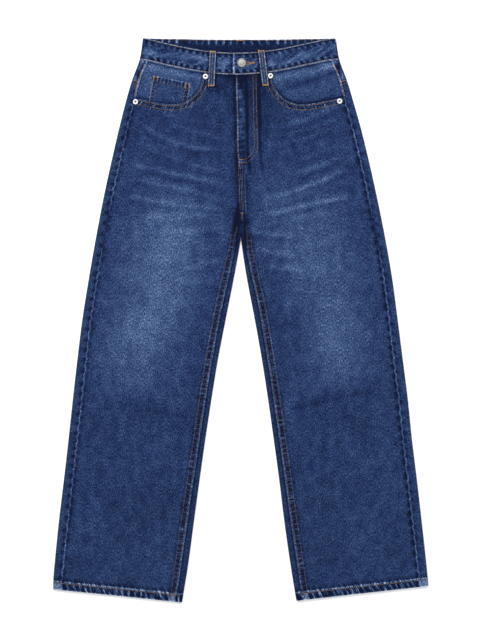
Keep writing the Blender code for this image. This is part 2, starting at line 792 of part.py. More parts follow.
for name, (x0, drop0), (x1, drop1) in FRONT_LOOPS:
    sections = []
    for row in range(LOOP_STEPS + 1):
        share = row / LOOP_STEPS
        x, drop = lerp(x0, x1, share), lerp(drop0, drop1, share)
        height = carried(x, drop) + SEAM + SLACK + LOOP_WALL + LOOP_BOW * math.sin(math.pi * share) ** 2
        sections.append([(x + across, drop, height) for across in LOOP_ACROSS])
    wall(name, sections, DENIM_BAND, LOOP_WALL)

for x, name in BACK_LOOPS:
    sections = []
    for row in range(LOOP_STEPS + 1):
        drop = lerp(BACK_LOOP_START, BACK_LOOP_END, row / LOOP_STEPS)
        sections.append([(x + across, drop, 0.0) for across in LOOP_ACROSS])
    wall(name, sections, DENIM_BAND, LOOP_WALL, faces_up=False)

# ---------------------------------------------------------------- button and rivets


def turned(name, profile, x, drop, seat, colour, steps):
    """A turned piece from (radius, height) points that run from its top rim down."""
    bm = bmesh.new()
    vertices = [bm.verts.new((radius, 0, height)) for radius, height in profile]
    for a, b in zip(vertices, vertices[1:]):
        bm.edges.new((a, b))
    obj = add_object(name, bm, finish(name, colour, 0.3, 1))
    screw = obj.modifiers.new("turned", "SCREW")
    screw.steps = steps
    screw.render_steps = steps
    screw.use_merge_vertices = True
    screw.merge_threshold = 0.00001
    obj.location = (x, LENGTH / 2 - drop, seat)
    return obj


BUTTON_RADIUS = 0.0085
RIVET_RADIUS = 0.0052
BUTTON_PROFILE = (
    (0, 0.0034),
    (0.0050, 0.0032),
    (0.0066, 0.0028),
    (0.0070, 0.0036),
    (0.0080, 0.0036),
    (BUTTON_RADIUS, 0.0026),
    (BUTTON_RADIUS - 0.0006, 0.0014),
    (0.0045, 0.0010),
    (0.0045, 0),
    (0, 0),
)
RIVET_PROFILE = (
    (0, 0.0013),
    (0.0014, 0.0010),
    (0.0022, 0.0007),
    (0.0030, 0.0016),
    (0.0042, 0.0016),
    (RIVET_RADIUS, 0.0007),
    (RIVET_RADIUS, 0),
    (0, 0),
)
RIVETS = (
    ("rivet_right_inner", -0.0652, 0.0712),
    ("rivet_left_inner", 0.0550, 0.0700),
    ("rivet_right_outer", -0.1948, 0.1180),
    ("rivet_left_outer", 0.1830, 0.1168),
)

BUTTON_X = 0.0017
BUTTON_DROP = 0.0460
button_seat = max(band_top(BUTTON_X + dx) for dx in (-0.006, 0, 0.006)) + SEAM
turned("waist_button", BUTTON_PROFILE, BUTTON_X, BUTTON_DROP, button_seat, STEEL, 24)

for name, x, drop in RIVETS:
    heights = []
    for angle in np.linspace(0, math.tau, 9):
        heights.append(top(x + RIVET_RADIUS * math.cos(angle), drop + RIVET_RADIUS * math.sin(angle)))
    seat = max(heights) + SEAM
    turned(name, RIVET_PROFILE, x, drop, seat, STEEL, 16)
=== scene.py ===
import math
from collections import namedtuple

import bmesh
import bpy
import numpy as np
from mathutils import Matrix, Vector
from mathutils.bvhtree import BVHTree


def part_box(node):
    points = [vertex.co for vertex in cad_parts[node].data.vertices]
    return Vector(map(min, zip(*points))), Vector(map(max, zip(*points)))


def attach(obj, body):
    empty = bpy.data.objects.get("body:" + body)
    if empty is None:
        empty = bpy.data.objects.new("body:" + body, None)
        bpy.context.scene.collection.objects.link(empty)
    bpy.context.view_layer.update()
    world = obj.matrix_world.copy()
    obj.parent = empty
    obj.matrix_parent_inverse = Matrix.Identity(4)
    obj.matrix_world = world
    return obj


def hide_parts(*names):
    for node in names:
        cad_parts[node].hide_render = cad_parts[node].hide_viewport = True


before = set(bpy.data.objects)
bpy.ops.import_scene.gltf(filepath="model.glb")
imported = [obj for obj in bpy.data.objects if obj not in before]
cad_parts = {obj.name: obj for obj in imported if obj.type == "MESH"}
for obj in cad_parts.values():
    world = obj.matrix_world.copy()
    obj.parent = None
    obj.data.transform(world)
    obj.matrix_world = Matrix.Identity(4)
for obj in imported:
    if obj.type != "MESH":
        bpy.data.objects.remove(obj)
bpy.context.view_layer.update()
bpy.ops.object.select_all(action="DESELECT")

# =============================================================== back panels
# Two shaped panels of washed denim from the yoke to the hem. Each wraps round the folded
# sides of the flat leg, so it also shows in front as a strip beside the side seam and
# beside the inseam. X runs to the wearer's left; a drop is a distance down from the waist.

RIGHT = -1  # the wearer's right lies at -X
LEFT = 1
SIDES = ((RIGHT, "right"), (LEFT, "left"))
LENGTH = 1.044
CLOTH = 0.0014  # one layer of denim
SEAM = 0.0003  # between sewn pieces
CLEAR = 0.0004  # between layers that lie on each other
WAIST_SEAM = 0.0005
FOLD = 0.0034  # how far a fold bulges
FOLD_STEPS = 8
FOLD_REACH = 0.045  # from a fold to where the cloth lies at its full height
CROTCH_POINT = 0.341
CROTCH_FOLD = 0.3726
CROTCH_FADE = 0.05
CROTCH_TURN = 0.045  # share of the leg over which the inner fold turns from level to upright
LEG_OUTER = 0.345
HEM_OUTER = {RIGHT: 1.0200, LEFT: 1.0140}
HEM_INNER = {RIGHT: 1.0440, LEFT: 1.0410}
HEM_DEPTH = 0.014
HEM_WALL = 0.0026
STRIP_TILT = 0.0015
BAND_HEIGHT = 0.040
BACK_DIP = 0.0025
YOKE_SIDE = 0.0795
YOKE_SEAM_TILT = 0.004
YOKE_BACK = 0.108
LOOP_WIDTH = 0.011
LOOP_WALL = 0.0014
BACK_LOOPS = (-0.110, 0.0, 0.110)
BACK_LOOP_START = 0.0025
BACK_LOOP_END = 0.062
BACK_POCKET_WALL = 0.0014
BACK_POCKET_X = 0.100
BACK_POCKET_DROP = 0.146
BACK_POCKET_HALF = 0.074
BACK_POCKET_DEPTH = 0.165
LAP_MOUND = 0.0008  # the rise of the cloth over the waistband's lap
LAP_DROP = 0.055
LAP_REACH = 0.045

# What differs from side to side: seeds, the lean of the hem's ropes, and how dark the painted
# shade in the hollows beside the side seam is on the back panel's strip and on the front.
Uneven = namedtuple("Uneven", "puckers turns hem hem_lean strip front")
UNEVEN = {RIGHT: Uneven(21, 141, 41, 0.25, 1.0, 0.6), LEFT: Uneven(31, 151, 51, 0.65, 0.7, 1.1)}

Width = namedtuple("Width", "drop half sway strip edge middle")
WIDTHS = [
    Width(0.000, 0.1784, -0.0026, 0.0140, 0.0072, 0.0074),
    Width(0.040, 0.1850, -0.0024, 0.0140, 0.0072, 0.0076),
    Width(0.077, 0.1987, -0.0024, 0.0132, 0.0072, 0.0083),
    Width(0.114, 0.2096, -0.0022, 0.0150, 0.0072, 0.0083),
    Width(0.151, 0.2197, -0.0016, 0.0155, 0.0070, 0.0074),
    Width(0.225, 0.2377, -0.0010, 0.0158, 0.0066, 0.0064),
    Width(0.299, 0.2539, -0.0008, 0.0158, 0.0065, 0.0062),
    Width(0.373, 0.2683, -0.0004, 0.0158, 0.0065, 0.0059),
    Width(0.447, 0.2811, -0.0005, 0.0158, 0.0065, 0.0056),
    Width(0.521, 0.2919, -0.0014, 0.0160, 0.0064, 0.0055),
    Width(0.595, 0.3012, -0.0013, 0.0168, 0.0064, 0.0054),
    Width(0.669, 0.3101, -0.0008, 0.0170, 0.0064, 0.0054),
    Width(0.743, 0.3179, -0.0010, 0.0165, 0.0063, 0.0054),
    Width(0.817, 0.3267, -0.0007, 0.0168, 0.0063, 0.0054),
    Width(0.891, 0.3354, -0.0009, 0.0170, 0.0063, 0.0055),
    Width(0.965, 0.3432, -0.0006, 0.0166, 0.0064, 0.0058),
    Width(1.002, 0.3466, -0.0003, 0.0163, 0.0065, 0.0062),
    Width(1.045, 0.3475, 0.0010, 0.0163, 0.0066, 0.0066),
]
Gap = namedtuple("Gap", "drop half sway")
GAPS = [
    Gap(0.3726, 0.0002, 0.0002),
    Gap(0.391, 0.0029, -0.0001),
    Gap(0.447, 0.0125, -0.0008),
    Gap(0.521, 0.0269, -0.0010),
    Gap(0.595, 0.0406, -0.0016),
    Gap(0.669, 0.0524, -0.0019),
    Gap(0.743, 0.0632, -0.0023),
    Gap(0.817, 0.0735, -0.0025),
    Gap(0.891, 0.0831, -0.0030),
    Gap(0.965, 0.0932, -0.0027),
    Gap(1.045, 0.1060, -0.0027),
]
INSEAMS = [
    Gap(0.341, 0.0000, 0.0033),
    Gap(0.348, 0.0050, 0.0022),
    Gap(0.358, 0.0074, 0.0012),
    Gap(0.382, 0.0104, -0.0002),
    Gap(0.430, 0.0200, -0.0006),
    Gap(0.484, 0.0322, -0.0007),
    Gap(0.595, 0.0524, -0.0016),
    Gap(0.743, 0.0750, -0.0023),
    Gap(0.891, 0.0964, -0.0030),
    Gap(1.045, 0.1190, -0.0027),
]
Dip = namedtuple("Dip", "x depth")
FRONT_DIPS = [
    Dip(-0.1784, 0.0000),
    Dip(-0.1650, 0.0030),
    Dip(-0.1400, 0.0092),
    Dip(-0.1100, 0.0157),
    Dip(-0.0800, 0.0212),
    Dip(-0.0500, 0.0253),
    Dip(-0.0150, 0.0274),
    Dip(0.0200, 0.0265),
    Dip(0.0500, 0.0233),
    Dip(0.0800, 0.0185),
    Dip(0.1100, 0.0122),
    Dip(0.1400, 0.0059),
    Dip(0.1580, 0.0020),
    Dip(0.1760, 0.0000),
]
Crease = namedtuple("Crease", "x drop end_x end_drop bow width height")
CREASES = [
    Crease(-0.2400, 0.668, -0.0860, 0.702, 0.005, 0.012, -0.0007),  # knees
    Crease(-0.2300, 0.648, -0.1050, 0.680, 0.006, 0.014, 0.0006),
    Crease(0.0930, 0.688, 0.2580, 0.652, -0.003, 0.012, -0.0011),
    Crease(0.1050, 0.668, 0.2480, 0.634, -0.003, 0.014, 0.0006),
    Crease(-0.2080, 0.230, -0.1000, 0.262, 0.006, 0.010, 0.0007),  # hips
    Crease(-0.2230, 0.292, -0.0900, 0.322, 0.006, 0.011, 0.0007),
    Crease(0.0850, 0.262, 0.1990, 0.228, 0.006, 0.010, 0.0007),
    Crease(0.0700, 0.322, 0.2180, 0.290, 0.006, 0.011, 0.0007),
]


def ease(t):
    """0 below 0, 1 above 1 and smooth between."""
    t = np.clip(t, 0.0, 1.0)
    return t * t * (3 - 2 * t)


def past(place, start, reach):
    """0 up to a start, then rising to 1 over a reach."""
    return ease((place - start) / reach)


def until(place, end, reach):
    """1 up to an end, then falling to 0 over a reach."""
    return 1 - past(place, end, reach)


def lerp(a, b, t):
    return a + (b - a) * t


def span_value(values, slopes, i, span, t):
    """A smooth curve at a share t of the span from its value i to the next."""
    bend = span * t * (1 - t) * ((1 - t) * slopes[i] - t * slopes[i + 1])
    return lerp(values[i], values[i + 1], ease(t)) + bend


def curves(table):
    """A table's columns after the first, each as a smooth curve against the first."""
    keys, *columns = np.array(table).T

    def curve(values):
        slopes = np.gradient(values, keys)

        def read(key):
            key = np.clip(key, keys[0], keys[-1])
            i = np.clip(np.searchsorted(keys, key, side="right"), 1, len(keys) - 1) - 1
            span = keys[i + 1] - keys[i]
            return span_value(values, slopes, i, span, (key - keys[i]) / span)

        return read

    return [curve(values) for values in columns]


half_width, sway, strip_width, edge_height, middle_height = curves(WIDTHS)
gap_half, gap_sway = curves(GAPS)
inseam_half, inseam_sway = curves(INSEAMS)
front_dip = curves(FRONT_DIPS)[0]


def fold_x(side, drop):
    """The side fold."""
    return sway(drop) + side * half_width(drop)


def seam_x(side, drop):
    """The side seam, on top of the flat garment."""
    return fold_x(side, drop) - side * strip_width(drop)


def gap_x(side, drop):
    """The inner fold of a leg."""
    return gap_sway(drop) + side * gap_half(drop)


def inseam_x(side, drop):
    return inseam_sway(drop) + side * inseam_half(drop)


def back_dip(x):
    return BACK_DIP * (1 - np.minimum(np.abs(x) / half_width(0), 1) ** 2)


def hem_drop(side, x):
    """Drop of the hem's edge at an x."""
    outer = fold_x(side, HEM_OUTER[side])
    inner = gap_x(side, HEM_INNER[side])
    return lerp(HEM_OUTER[side], HEM_INNER[side], np.clip((x - outer) / (inner - outer), 0, 1))


GRAIN_LUMPS = (97, 89)  # each way, before the unevenness comes round again


def grain(x, y, size_x, size_y, seed):
    """Smooth unevenness from -1 to 1, with lumps of a given size."""
    table = np.random.default_rng(seed).uniform(-1, 1, GRAIN_LUMPS)
    u, v = np.nan_to_num(np.broadcast_arrays(np.asarray(x) / size_x, np.asarray(y) / size_y))
    i, j = np.floor(u).astype(int), np.floor(v).astype(int)
    s, t = ease(u - i), ease(v - j)

    def lump(i, j):
        return table[i % GRAIN_LUMPS[0], j % GRAIN_LUMPS[1]]

    return lerp(lerp(lump(i, j), lump(i + 1, j), s), lerp(lump(i, j + 1), lump(i + 1, j + 1), s), t)


def roping(along, across, period, lean, seed):
    """Ridges that lean across a sewn edge, from -1 to 1, uneven in width and height."""
    wander = 0.45 * grain(along, across, period * 2.4, period * 2, seed)
    wave = 0.5 + 0.5 * np.sin(math.tau * (along / period + lean * across / period + wander))
    swell = 0.75 + 0.35 * grain(along, across, period * 1.7, period * 3, seed + 1)
    return swell * (2 * wave**1.7 - 1)


def ridge(distance, width):
    """1 on a line, falling to 0 over a width."""
    return np.exp(-((distance / width) ** 2))


def by_line(line, x, drop):
    """Where points lie by a bowed line: at which share of its length, and how far off it."""
    run_x = line.end_x - line.x
    run_drop = line.end_drop - line.drop
    length = math.hypot(run_x, run_drop)
    t = ((x - line.x) * run_x + (drop - line.drop) * run_drop) / length**2
    off = ((drop - line.drop) * run_x - (x - line.x) * run_drop) / length
    return t, off - line.bow * 4 * t * (1 - t)


def crease_height(x, drop):
    total = 0.0 * x
    for crease in CREASES:
        t, off = by_line(crease, x, drop)
        ends = ease(4 * t) * ease(4 * (1 - t))
        total = total + crease.height * ridge(off, crease.width) * ends
    return total


def clear_of_band(drop):
    return past(drop, 0.055, 0.02)


def side_puckers(side, x, drop):
    """Puckers beside the side seam, drawn in by its stitching."""
    off = side * (x - seam_x(side, drop))
    puckers = roping(drop, off, 0.0165, 0.35, UNEVEN[side].puckers)
    return clear_of_band(drop) * puckers * ridge(off, 0.0075)


def side_turns(side, drop):
    """Which way the side seam is drawn at a drop: over 0 to the front, under 0 to the back."""
    return roping(drop, 0, 0.0180, 0, UNEVEN[side].turns)


def side_hollow_shade(side, x, drop):
    """Where shade is painted in small hollows by turns on either side of the side seam."""
    off = side * (x - seam_x(side, drop))
    turn = side_turns(side, drop)
    on_strip = UNEVEN[side].strip * ridge(off - 0.0046, 0.0036) * ease(0.5 + turn)
    on_front = UNEVEN[side].front * ridge(off + 0.0040, 0.0030) * ease(0.4 - turn)
    return clear_of_band(drop) * (on_strip + on_front)


def hem_ropes(side, x, drop):
    """Leaning ridges of the turned-up hem, with shorter ones above its stitching."""
    up = hem_drop(side, x) - drop
    ropes = roping(x, up, 0.0115, UNEVEN[side].hem_lean, UNEVEN[side].hem)
    in_hem = ease(up / 0.002) * until(up, HEM_DEPTH - 0.003, 0.003)
    above = past(up, HEM_DEPTH, 0.002) * until(up, HEM_DEPTH + 0.003, 0.009)
    return ropes * (in_hem + 0.35 * above)


def waviness(x, drop, seed):
    wide = grain(x, drop, 0.060, 0.085, seed)
    narrow = grain(x + 0.3 * drop, drop, 0.022, 0.030, seed + 1)
    return 0.00032 * wide + 0.00014 * narrow


def on_own_side(of_side, x, drop):
    """A function of the side, read for the side that each point lies on."""
    return np.where(x > 0, of_side(LEFT, x, drop), of_side(RIGHT, x, drop))


def sewn_relief(side, x, drop):
    """Puckers beside the side seam, and the thicker hem with its ropes."""
    ropes = side_puckers(side, x, drop) + hem_ropes(side, x, drop)
    return 0.00035 * ropes + 0.0005 * until(hem_drop(side, x) - drop, HEM_DEPTH, 0.003)


def top(x, drop):
    """Height of the front's outer face, with its creases, waves and puckers."""
    side = np.where(x > 0, LEFT, RIGHT)
    to_fold = side * (fold_x(side, drop) - x)
    to_gap = side * (x - gap_x(side, drop))
    to_gap = np.where(drop > CROTCH_FOLD, to_gap, np.hypot(x, CROTCH_FOLD - drop))
    to_edge = np.maximum(np.minimum(to_fold, to_gap) - FOLD, 0)
    height = lerp(middle_height(drop), edge_height(drop), until(to_edge, 0, FOLD_REACH))
    height = height + LAP_MOUND * ridge(np.hypot(x, drop - LAP_DROP), LAP_REACH)
    waves = waviness(x, drop, 11) * ease(to_edge / 0.01) * past(drop, 0.09, 0.03)
    return height + crease_height(x, drop) + waves + on_own_side(sewn_relief, x, drop)


Sewn = namedtuple("Sewn", "x half start end wall fade")
SEWN_BEHIND = []
for x in (-BACK_POCKET_X, BACK_POCKET_X):
    foot = BACK_POCKET_DROP + BACK_POCKET_DEPTH + 0.010
    edges = (BACK_POCKET_HALF + 0.004, BACK_POCKET_DROP - 0.012, foot)
    SEWN_BEHIND.append(Sewn(x, *edges, BACK_POCKET_WALL, 0.022))
for x in BACK_LOOPS:
    edges = (LOOP_WIDTH / 2 + 0.003, -0.010, BACK_LOOP_END + 0.006)
    SEWN_BEHIND.append(Sewn(x, *edges, LOOP_WALL, 0.018))


def underside(x, drop):
    """How far the back lies above the surface, over what is sewn on behind it and in waves."""
    lift = 0.0 * x
    for one in SEWN_BEHIND:
        across = np.maximum(np.abs(x - one.x) - one.half, 0)
        along = np.maximum(np.maximum(one.start - drop, drop - one.end), 0)
        over = (one.wall + CLEAR) * until(np.hypot(across, along), 0, one.fade)
        lift = np.maximum(lift, over)
    ropes = np.maximum(on_own_side(hem_ropes, x, drop), -0.3)
    relief = 0.00016 + 0.5 * waviness(x, drop, 61) + 0.0003 * ropes
    return lift + np.maximum(relief, 0) * past(drop, 0.075, 0.02)


def fold_arc(upper, lower, outward):
    """Points round a fold, from the top layer to the bottom one."""
    angle = math.pi * np.arange(1, FOLD_STEPS)[:, None] / FOLD_STEPS
    bulge = FOLD * np.sin(angle) * np.array([*outward, 0])
    return lerp(upper, lower, (1 - np.cos(angle)) / 2) + bulge


def points_at(*parts):
    """Points from the numbers that place them: x, drop and often height."""
    return np.stack(np.broadcast_arrays(*parts), axis=-1)


def row_of(x, drop, height):
    """A row's points, from places and the height that a surface has there."""
    x, drop = np.broadcast_arrays(np.asarray(x, float), np.asarray(drop, float))
    return points_at(x, drop, height(x, drop))


STRIP_POINTS = 8  # across the strip beside the side seam
INNER_POINTS = 6  # across the strip beside the inseam
ARC_IN_FRONT = 3  # points of a fold's arc that still show in front
BOTTOM_POINTS = 84


def wrap(side, drop_at):
    """The strip beside the side seam and the side fold, down to the bottom layer."""
    fold_drop = drop_at(fold_x(side, drop_at(side)))
    start = fold_x(side, fold_drop) - side * FOLD
    seam = seam_x(side, drop_at(seam_x(side, fold_drop))) + side * SEAM / 2
    across = np.linspace(seam, start, STRIP_POINTS)
    strip = row_of(across, drop_at(across), top)
    lower = row_of(start, fold_drop, underside)
    return np.vstack([strip, fold_arc(strip[-1], lower, (side, 0)), lower])


def rise_row(side, top_drop, bottom_drop):
    """From the side seam round to the centre back seam."""
    folded = wrap(side, top_drop)
    across = np.linspace(folded[-1][0], side * SEAM / 2, BOTTOM_POINTS + 1)[1:]
    return np.vstack([folded, row_of(across, bottom_drop(across), underside)])


def leg_drops(side, share):
    """Drops of a leg's row at the side fold, the inseam and the inner fold."""
    outer = lerp(LEG_OUTER, HEM_OUTER[side], share)
    inseam = lerp(CROTCH_POINT, HEM_INNER[side] - STRIP_TILT, share)
    straight = lerp(CROTCH_POINT, HEM_INNER[side], share)
    return outer, inseam, straight + (CROTCH_FOLD - CROTCH_POINT) * math.exp(-share / CROTCH_FADE)


def leg_row(side, share):
    """From the side seam round the leg to the inseam."""
    outer, inseam, inner = leg_drops(side, share)
    outer_x = fold_x(side, outer)

    def top_drop(x):
        return outer + STRIP_TILT * share * side * (outer_x - x) / strip_width(outer)

    turn = ease(share / CROTCH_TURN) * math.pi / 2
    outward = np.array([-side * math.sin(turn), math.cos(turn)])
    start = np.array([gap_x(side, inner) + side * SEAM / 2, inner]) - outward * FOLD
    end = np.array([inseam_x(side, inseam) - side * SEAM / 2, inseam])
    if share == 0:
        end += (side * SEAM, SEAM)
    folded = wrap(side, top_drop)
    across = np.linspace(folded[-1][0], start[0], BOTTOM_POINTS + 1)[1:]
    down = lerp(outer, start[1], (across - outer_x) / (start[0] - outer_x))
    below = row_of(across, down, underside)
    strip = np.linspace(start, end, INNER_POINTS)
    upper = row_of(strip[:, 0], strip[:, 1], top)
    return np.vstack([folded, below, fold_arc(upper[0], below[-1], outward)[::-1], upper])


def yoke_seam(x):
    """Drop of the yoke's seam on the bottom layer."""
    return lerp(YOKE_BACK, YOKE_SIDE, np.abs(x) / half_width(YOKE_SIDE))


def yoke_seam_top(x):
    """Drop of the yoke's seam on the strip beside the side seam."""
    side = np.where(x > 0, LEFT, RIGHT)
    from_fold = side * (fold_x(side, YOKE_SIDE) - x) / strip_width(YOKE_SIDE)
    return YOKE_SIDE + YOKE_SEAM_TILT * np.maximum(from_fold, 0)


def joined(operation, swapped=False):
    """A method that adds the Math node of an operation."""

    def method(self, other=0.0):
        first, second = (other, self) if swapped else (self, other)
        settings = {"operation": operation}
        return self.finish.node("ShaderNodeMath", settings, {0: first, 1: second})

    return method


class Level:
    """A shader value that Python's arithmetic can be written on."""

    def __init__(self, finish, socket):
        self.finish = finish
        self.socket = socket

    __add__ = __radd__ = joined("ADD")
    __sub__ = joined("SUBTRACT")
    __rsub__ = joined("SUBTRACT", swapped=True)
    __mul__ = __rmul__ = joined("MULTIPLY")
    __abs__ = joined("ABSOLUTE")
    sine = joined("SINE")
    at_least = joined("MAXIMUM")
    at_most = joined("MINIMUM")

    def kept(self):
        """Held from 0 to 1."""
        return self.finish.node("ShaderNodeClamp", {}, {"Value": self})


class Finish:
    """A material whose nodes are written as expressions."""

    def __init__(self, name):
        self.material = bpy.data.materials.new(name)
        self.material.use_nodes = True
        self.tree = self.material.node_tree
        self.shader = self.tree.nodes["Principled BSDF"]

    def node(self, kind, settings, sockets, output=0):
        made = self.tree.nodes.new(kind)
        for key, value in settings.items():
            setattr(made, key, value)
        for key, value in sockets.items():
            self.feed(made.inputs[key], value)
        return Level(self, made.outputs[output])

    def feed(self, socket, value):
        if isinstance(value, Level):
            self.tree.links.new(value.socket, socket)
        else:
            socket.default_value = value

    def set(self, **values):
        """Sets or feeds the shader's own sockets."""
        for key, value in values.items():
            self.feed(self.shader.inputs[key.replace("_", " ")], value)

    def of_point(self, name):
        """A value that each point of the mesh holds."""
        return self.node("ShaderNodeAttribute", {"attribute_name": name}, {}, "Fac")

    def place(self):
        return self.node("ShaderNodeTexCoord", {}, {}, "Object")

    def noise(self, vector, scale, detail, roughness):
        """Unevenness about 0, about 0.1 to either side; the scale is in lumps a metre."""
        stretched = self.node("ShaderNodeMapping", {}, {"Vector": vector, "Scale": scale})
        sockets = {"Vector": stretched, "Scale": 1.0, "Detail": detail, "Roughness": roughness}
        return self.node("ShaderNodeTexNoise", {"noise_dimensions": "2D"}, sockets) - 0.5

    def ramp(self, level, stops):
        """A colour for each level from 0 to 1."""
        colour = self.node("ShaderNodeValToRGB", {}, {"Fac": level.kept()})
        elements = colour.socket.node.color_ramp.elements
        while len(elements) < len(stops):
            elements.new(0.5)
        for element, (place, shade) in zip(elements, stops):
            element.position = place
            element.color = (*shade, 1)
        return colour

    def bump(self, height, strength, distance):
        sockets = {"Height": height, "Strength": strength, "Distance": distance}
        return self.node("ShaderNodeBump", {}, sockets)


LIGHT_LEVEL = 1.15  # how brightly the studio light shows a surface that faces the camera


def dye(red, green, blue):
    """A colour as seen, in the 0 to 255 of a screen, brought to what the cloth reflects."""
    seen = np.array([red, green, blue]) / 255
    linear = np.where(seen > 0.04045, ((seen + 0.055) / 1.055) ** 2.4, seen / 12.92)
    return tuple(float(part) for part in linear / LIGHT_LEVEL)


INDIGO = (
    (0.00, dye(8, 16, 40)),
    (0.16, dye(23, 39, 79)),
    (0.32, dye(39, 60, 103)),
    (0.48, dye(60, 84, 124)),
    (0.66, dye(90, 114, 150)),
    (0.84, dye(138, 157, 190)),
    (1.00, dye(192, 204, 224)),
)


def denim(name, base=0.0):
    """Washed twill: pale and dark yarns, slubs and a fine slanting rib, worn paler at edges."""
    finish = Finish(name)
    cut = finish.node("ShaderNodeUVMap", {"uv_map": "cut"}, {})
    across, down = (finish.node("ShaderNodeSeparateXYZ", {}, {"Vector": cut}, i) for i in (0, 1))
    tone, edge, drawn = (finish.of_point(name) for name in ("tone", "edge", "drawn"))
    rib = (across * 3300 + down * 4700).sine()
    slubs = finish.noise(cut, (1600, 280, 1), 2, 0.6)
    yarns = finish.noise(cut, (900, 420, 1), 3, 0.75)
    flecks = finish.noise(cut, (560, 240, 1), 3, 0.7)
    clouds = finish.noise(cut, (75, 48, 1), 3, 0.6)
    wear = finish.noise(cut, (260, 260, 1), 2, 0.6)
    worn = (1.15 - edge * 560).kept() * (0.80 + 2.8 * wear).kept()
    # Painted shade in the hollow about 3.4 mm in from a worn edge, where stitching draws the cloth
    # in
    hollow = (1 - abs(edge * 1000 - 3.4) * 0.55).kept() * (0.8 + 2.4 * wear).kept()
    leaning = finish.node("ShaderNodeCombineXYZ", {}, {"X": across + 0.45 * down, "Y": down})
    ticks = finish.noise(leaning, (520, 60, 1), 1, 0.5) * drawn.at_least(0)
    ticks = ticks - finish.noise(cut, (60, 420, 1), 1, 0.5) * drawn.at_most(0)
    weave = 0.75 * slubs + 1.00 * yarns + 0.90 * flecks
    level = tone + base - 0.085 + weave * (0.74 + 0.9 * tone) + 0.30 * clouds + 0.028 * rib
    level = level + 0.56 * worn - 0.15 * hollow + 1.5 * ticks
    relief = 0.35 * rib + 2.0 * slubs + 2.6 * yarns + 2.0 * flecks
    finish.set(Base_Color=finish.ramp(level, INDIGO), Normal=finish.bump(relief, 0.32, 0.0006))
    finish.set(Roughness=0.92, Specular_IOR_Level=0.08)
    return finish.material

def cloth(
    node, rows, tone, edge, materials, wall, full_rows=None, faces_up=True, drawn=0.0
):
    """A sheet laid through rows of (x, drop, height) points; nan leaves a point out.

    tone is how pale each point is, edge how far it lies from a worn edge, drawn how much
    stitching gathers it (over 0 in ticks across the rows, under 0 along them) and full_rows
    the rows that have the whole wall where the rest is a single layer. The second of two
    materials is for the inside.
    """
    count, width = rows.shape[:2]
    bpy.ops.object.select_all(action="DESELECT")
    bpy.ops.mesh.primitive_grid_add(x_subdivisions=width - 1, y_subdivisions=count - 1, size=1)
    piece = bpy.context.object
    piece.name = f"{node}_cloth"
    mesh = piece.data
    mesh.name = piece.name
    x, drop, height = np.moveaxis(rows, -1, 0)
    steps = np.hypot(np.hypot(np.diff(x), np.diff(drop)), np.diff(height))
    gone = np.hstack([np.zeros((count, 1)), np.nancumsum(steps, axis=1)])
    along = x[:, :1] + np.sign(x[:, 1:2] - x[:, :1]) * gone
    cut = points_at(along, -drop).reshape(-1, 2)
    placed = points_at(x, LENGTH / 2 - drop, height)
    mesh.vertices.foreach_set("co", np.nan_to_num(placed).ravel())
    corners = np.empty(len(mesh.loops), np.int32)
    mesh.loops.foreach_get("vertex_index", corners)
    mesh.uv_layers[0].name = "cut"
    mesh.uv_layers[0].uv.foreach_set("vector", np.nan_to_num(cut)[corners].ravel())
    for name, values in (("tone", tone), ("edge", edge), ("drawn", drawn)):
        values = np.nan_to_num(np.broadcast_to(values, (count, width)))
        layer = mesh.attributes.new(name, "FLOAT", "POINT")
        layer.data.foreach_set("value", np.ascontiguousarray(values, np.float32).ravel())
    layers = piece.vertex_groups.new(name="wall")
    for row in range(count):
        share = 1 if full_rows is None or full_rows[row] else CLOTH / wall
        layers.add(range(row * width, (row + 1) * width), share, "REPLACE")
    bm = bmesh.new()
    bm.from_mesh(mesh)
    bm.verts.ensure_lookup_table()
    unused = [bm.verts[int(i)] for i in np.flatnonzero(np.isnan(x))]
    bmesh.ops.delete(bm, geom=unused, context="VERTS")
    across = placed[:-1, 1:6] - placed[:-1, :5]
    down = placed[1:, :5] - placed[:-1, :5]
    if (np.nansum(np.cross(across, down)[..., 2]) > 0) != faces_up:
        bmesh.ops.reverse_faces(bm, faces=bm.faces)
    area = sum(face.calc_area() for face in bm.faces)
    bm.to_mesh(mesh)
    bm.free()
    for material in materials:
        mesh.materials.append(material)
    solid = piece.modifiers.new("wall", "SOLIDIFY")
    solid.thickness = wall
    solid.offset = -1
    solid.material_offset = len(materials) - 1
    solid.vertex_group = "wall"
    bpy.ops.object.modifier_apply(modifier="wall")
    bpy.ops.object.shade_smooth_by_angle(angle=math.radians(60))
    cloth_pieces.append(piece)
    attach(piece, "root")
    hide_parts(node)

def back_wash(x, drop):
    """How pale the back is: worn over the seat, the thighs and the calves."""
    side = np.where(x > 0, LEFT, RIGHT)
    seat = 0.13 * ridge(x - side * 0.11, 0.07) * ridge(drop - 0.26, 0.09)
    thigh = 0.09 * ridge(x - side * 0.14, 0.075) * ridge(drop - 0.46, 0.12)
    calf = 0.05 * ridge(x - side * 0.19, 0.07) * ridge(drop - 0.82, 0.12)
    return seat + thigh + calf


def seam_tone(side, x, drop):
    """Paler worn ridges by the side seam and in the hem, and painted shade in the hollows by them.
    """
    up = hem_drop(side, x) - drop
    pale = 0.34 * hem_ropes(side, x, drop) + 0.22 * ridge(up - HEM_DEPTH - 0.0014, 0.0016)
    # Painted shade in the hollow above the hem's pale ridge; the hem itself is a little darker
    dark = 0.10 * ridge(up - HEM_DEPTH - 0.006, 0.003) + 0.06 * (up < HEM_DEPTH)
    return pale - dark - 0.24 * side_hollow_shade(side, x, drop)


def hem_patches(side, x, drop):
    """Where the hem crosses the seams' many layers, which wear pale: in the strip and the fell."""
    up = hem_drop(side, x) - drop
    off = side * (x - seam_x(side, drop))
    into_leg = side * (x - inseam_x(side, drop))
    fell = past(into_leg, 0.0005, 0.001) * until(into_leg, 0.0100, 0.0015)
    return np.maximum(past(off, 0.0005, 0.001), fell) * until(up, HEM_DEPTH - 0.0020, 0.0015)


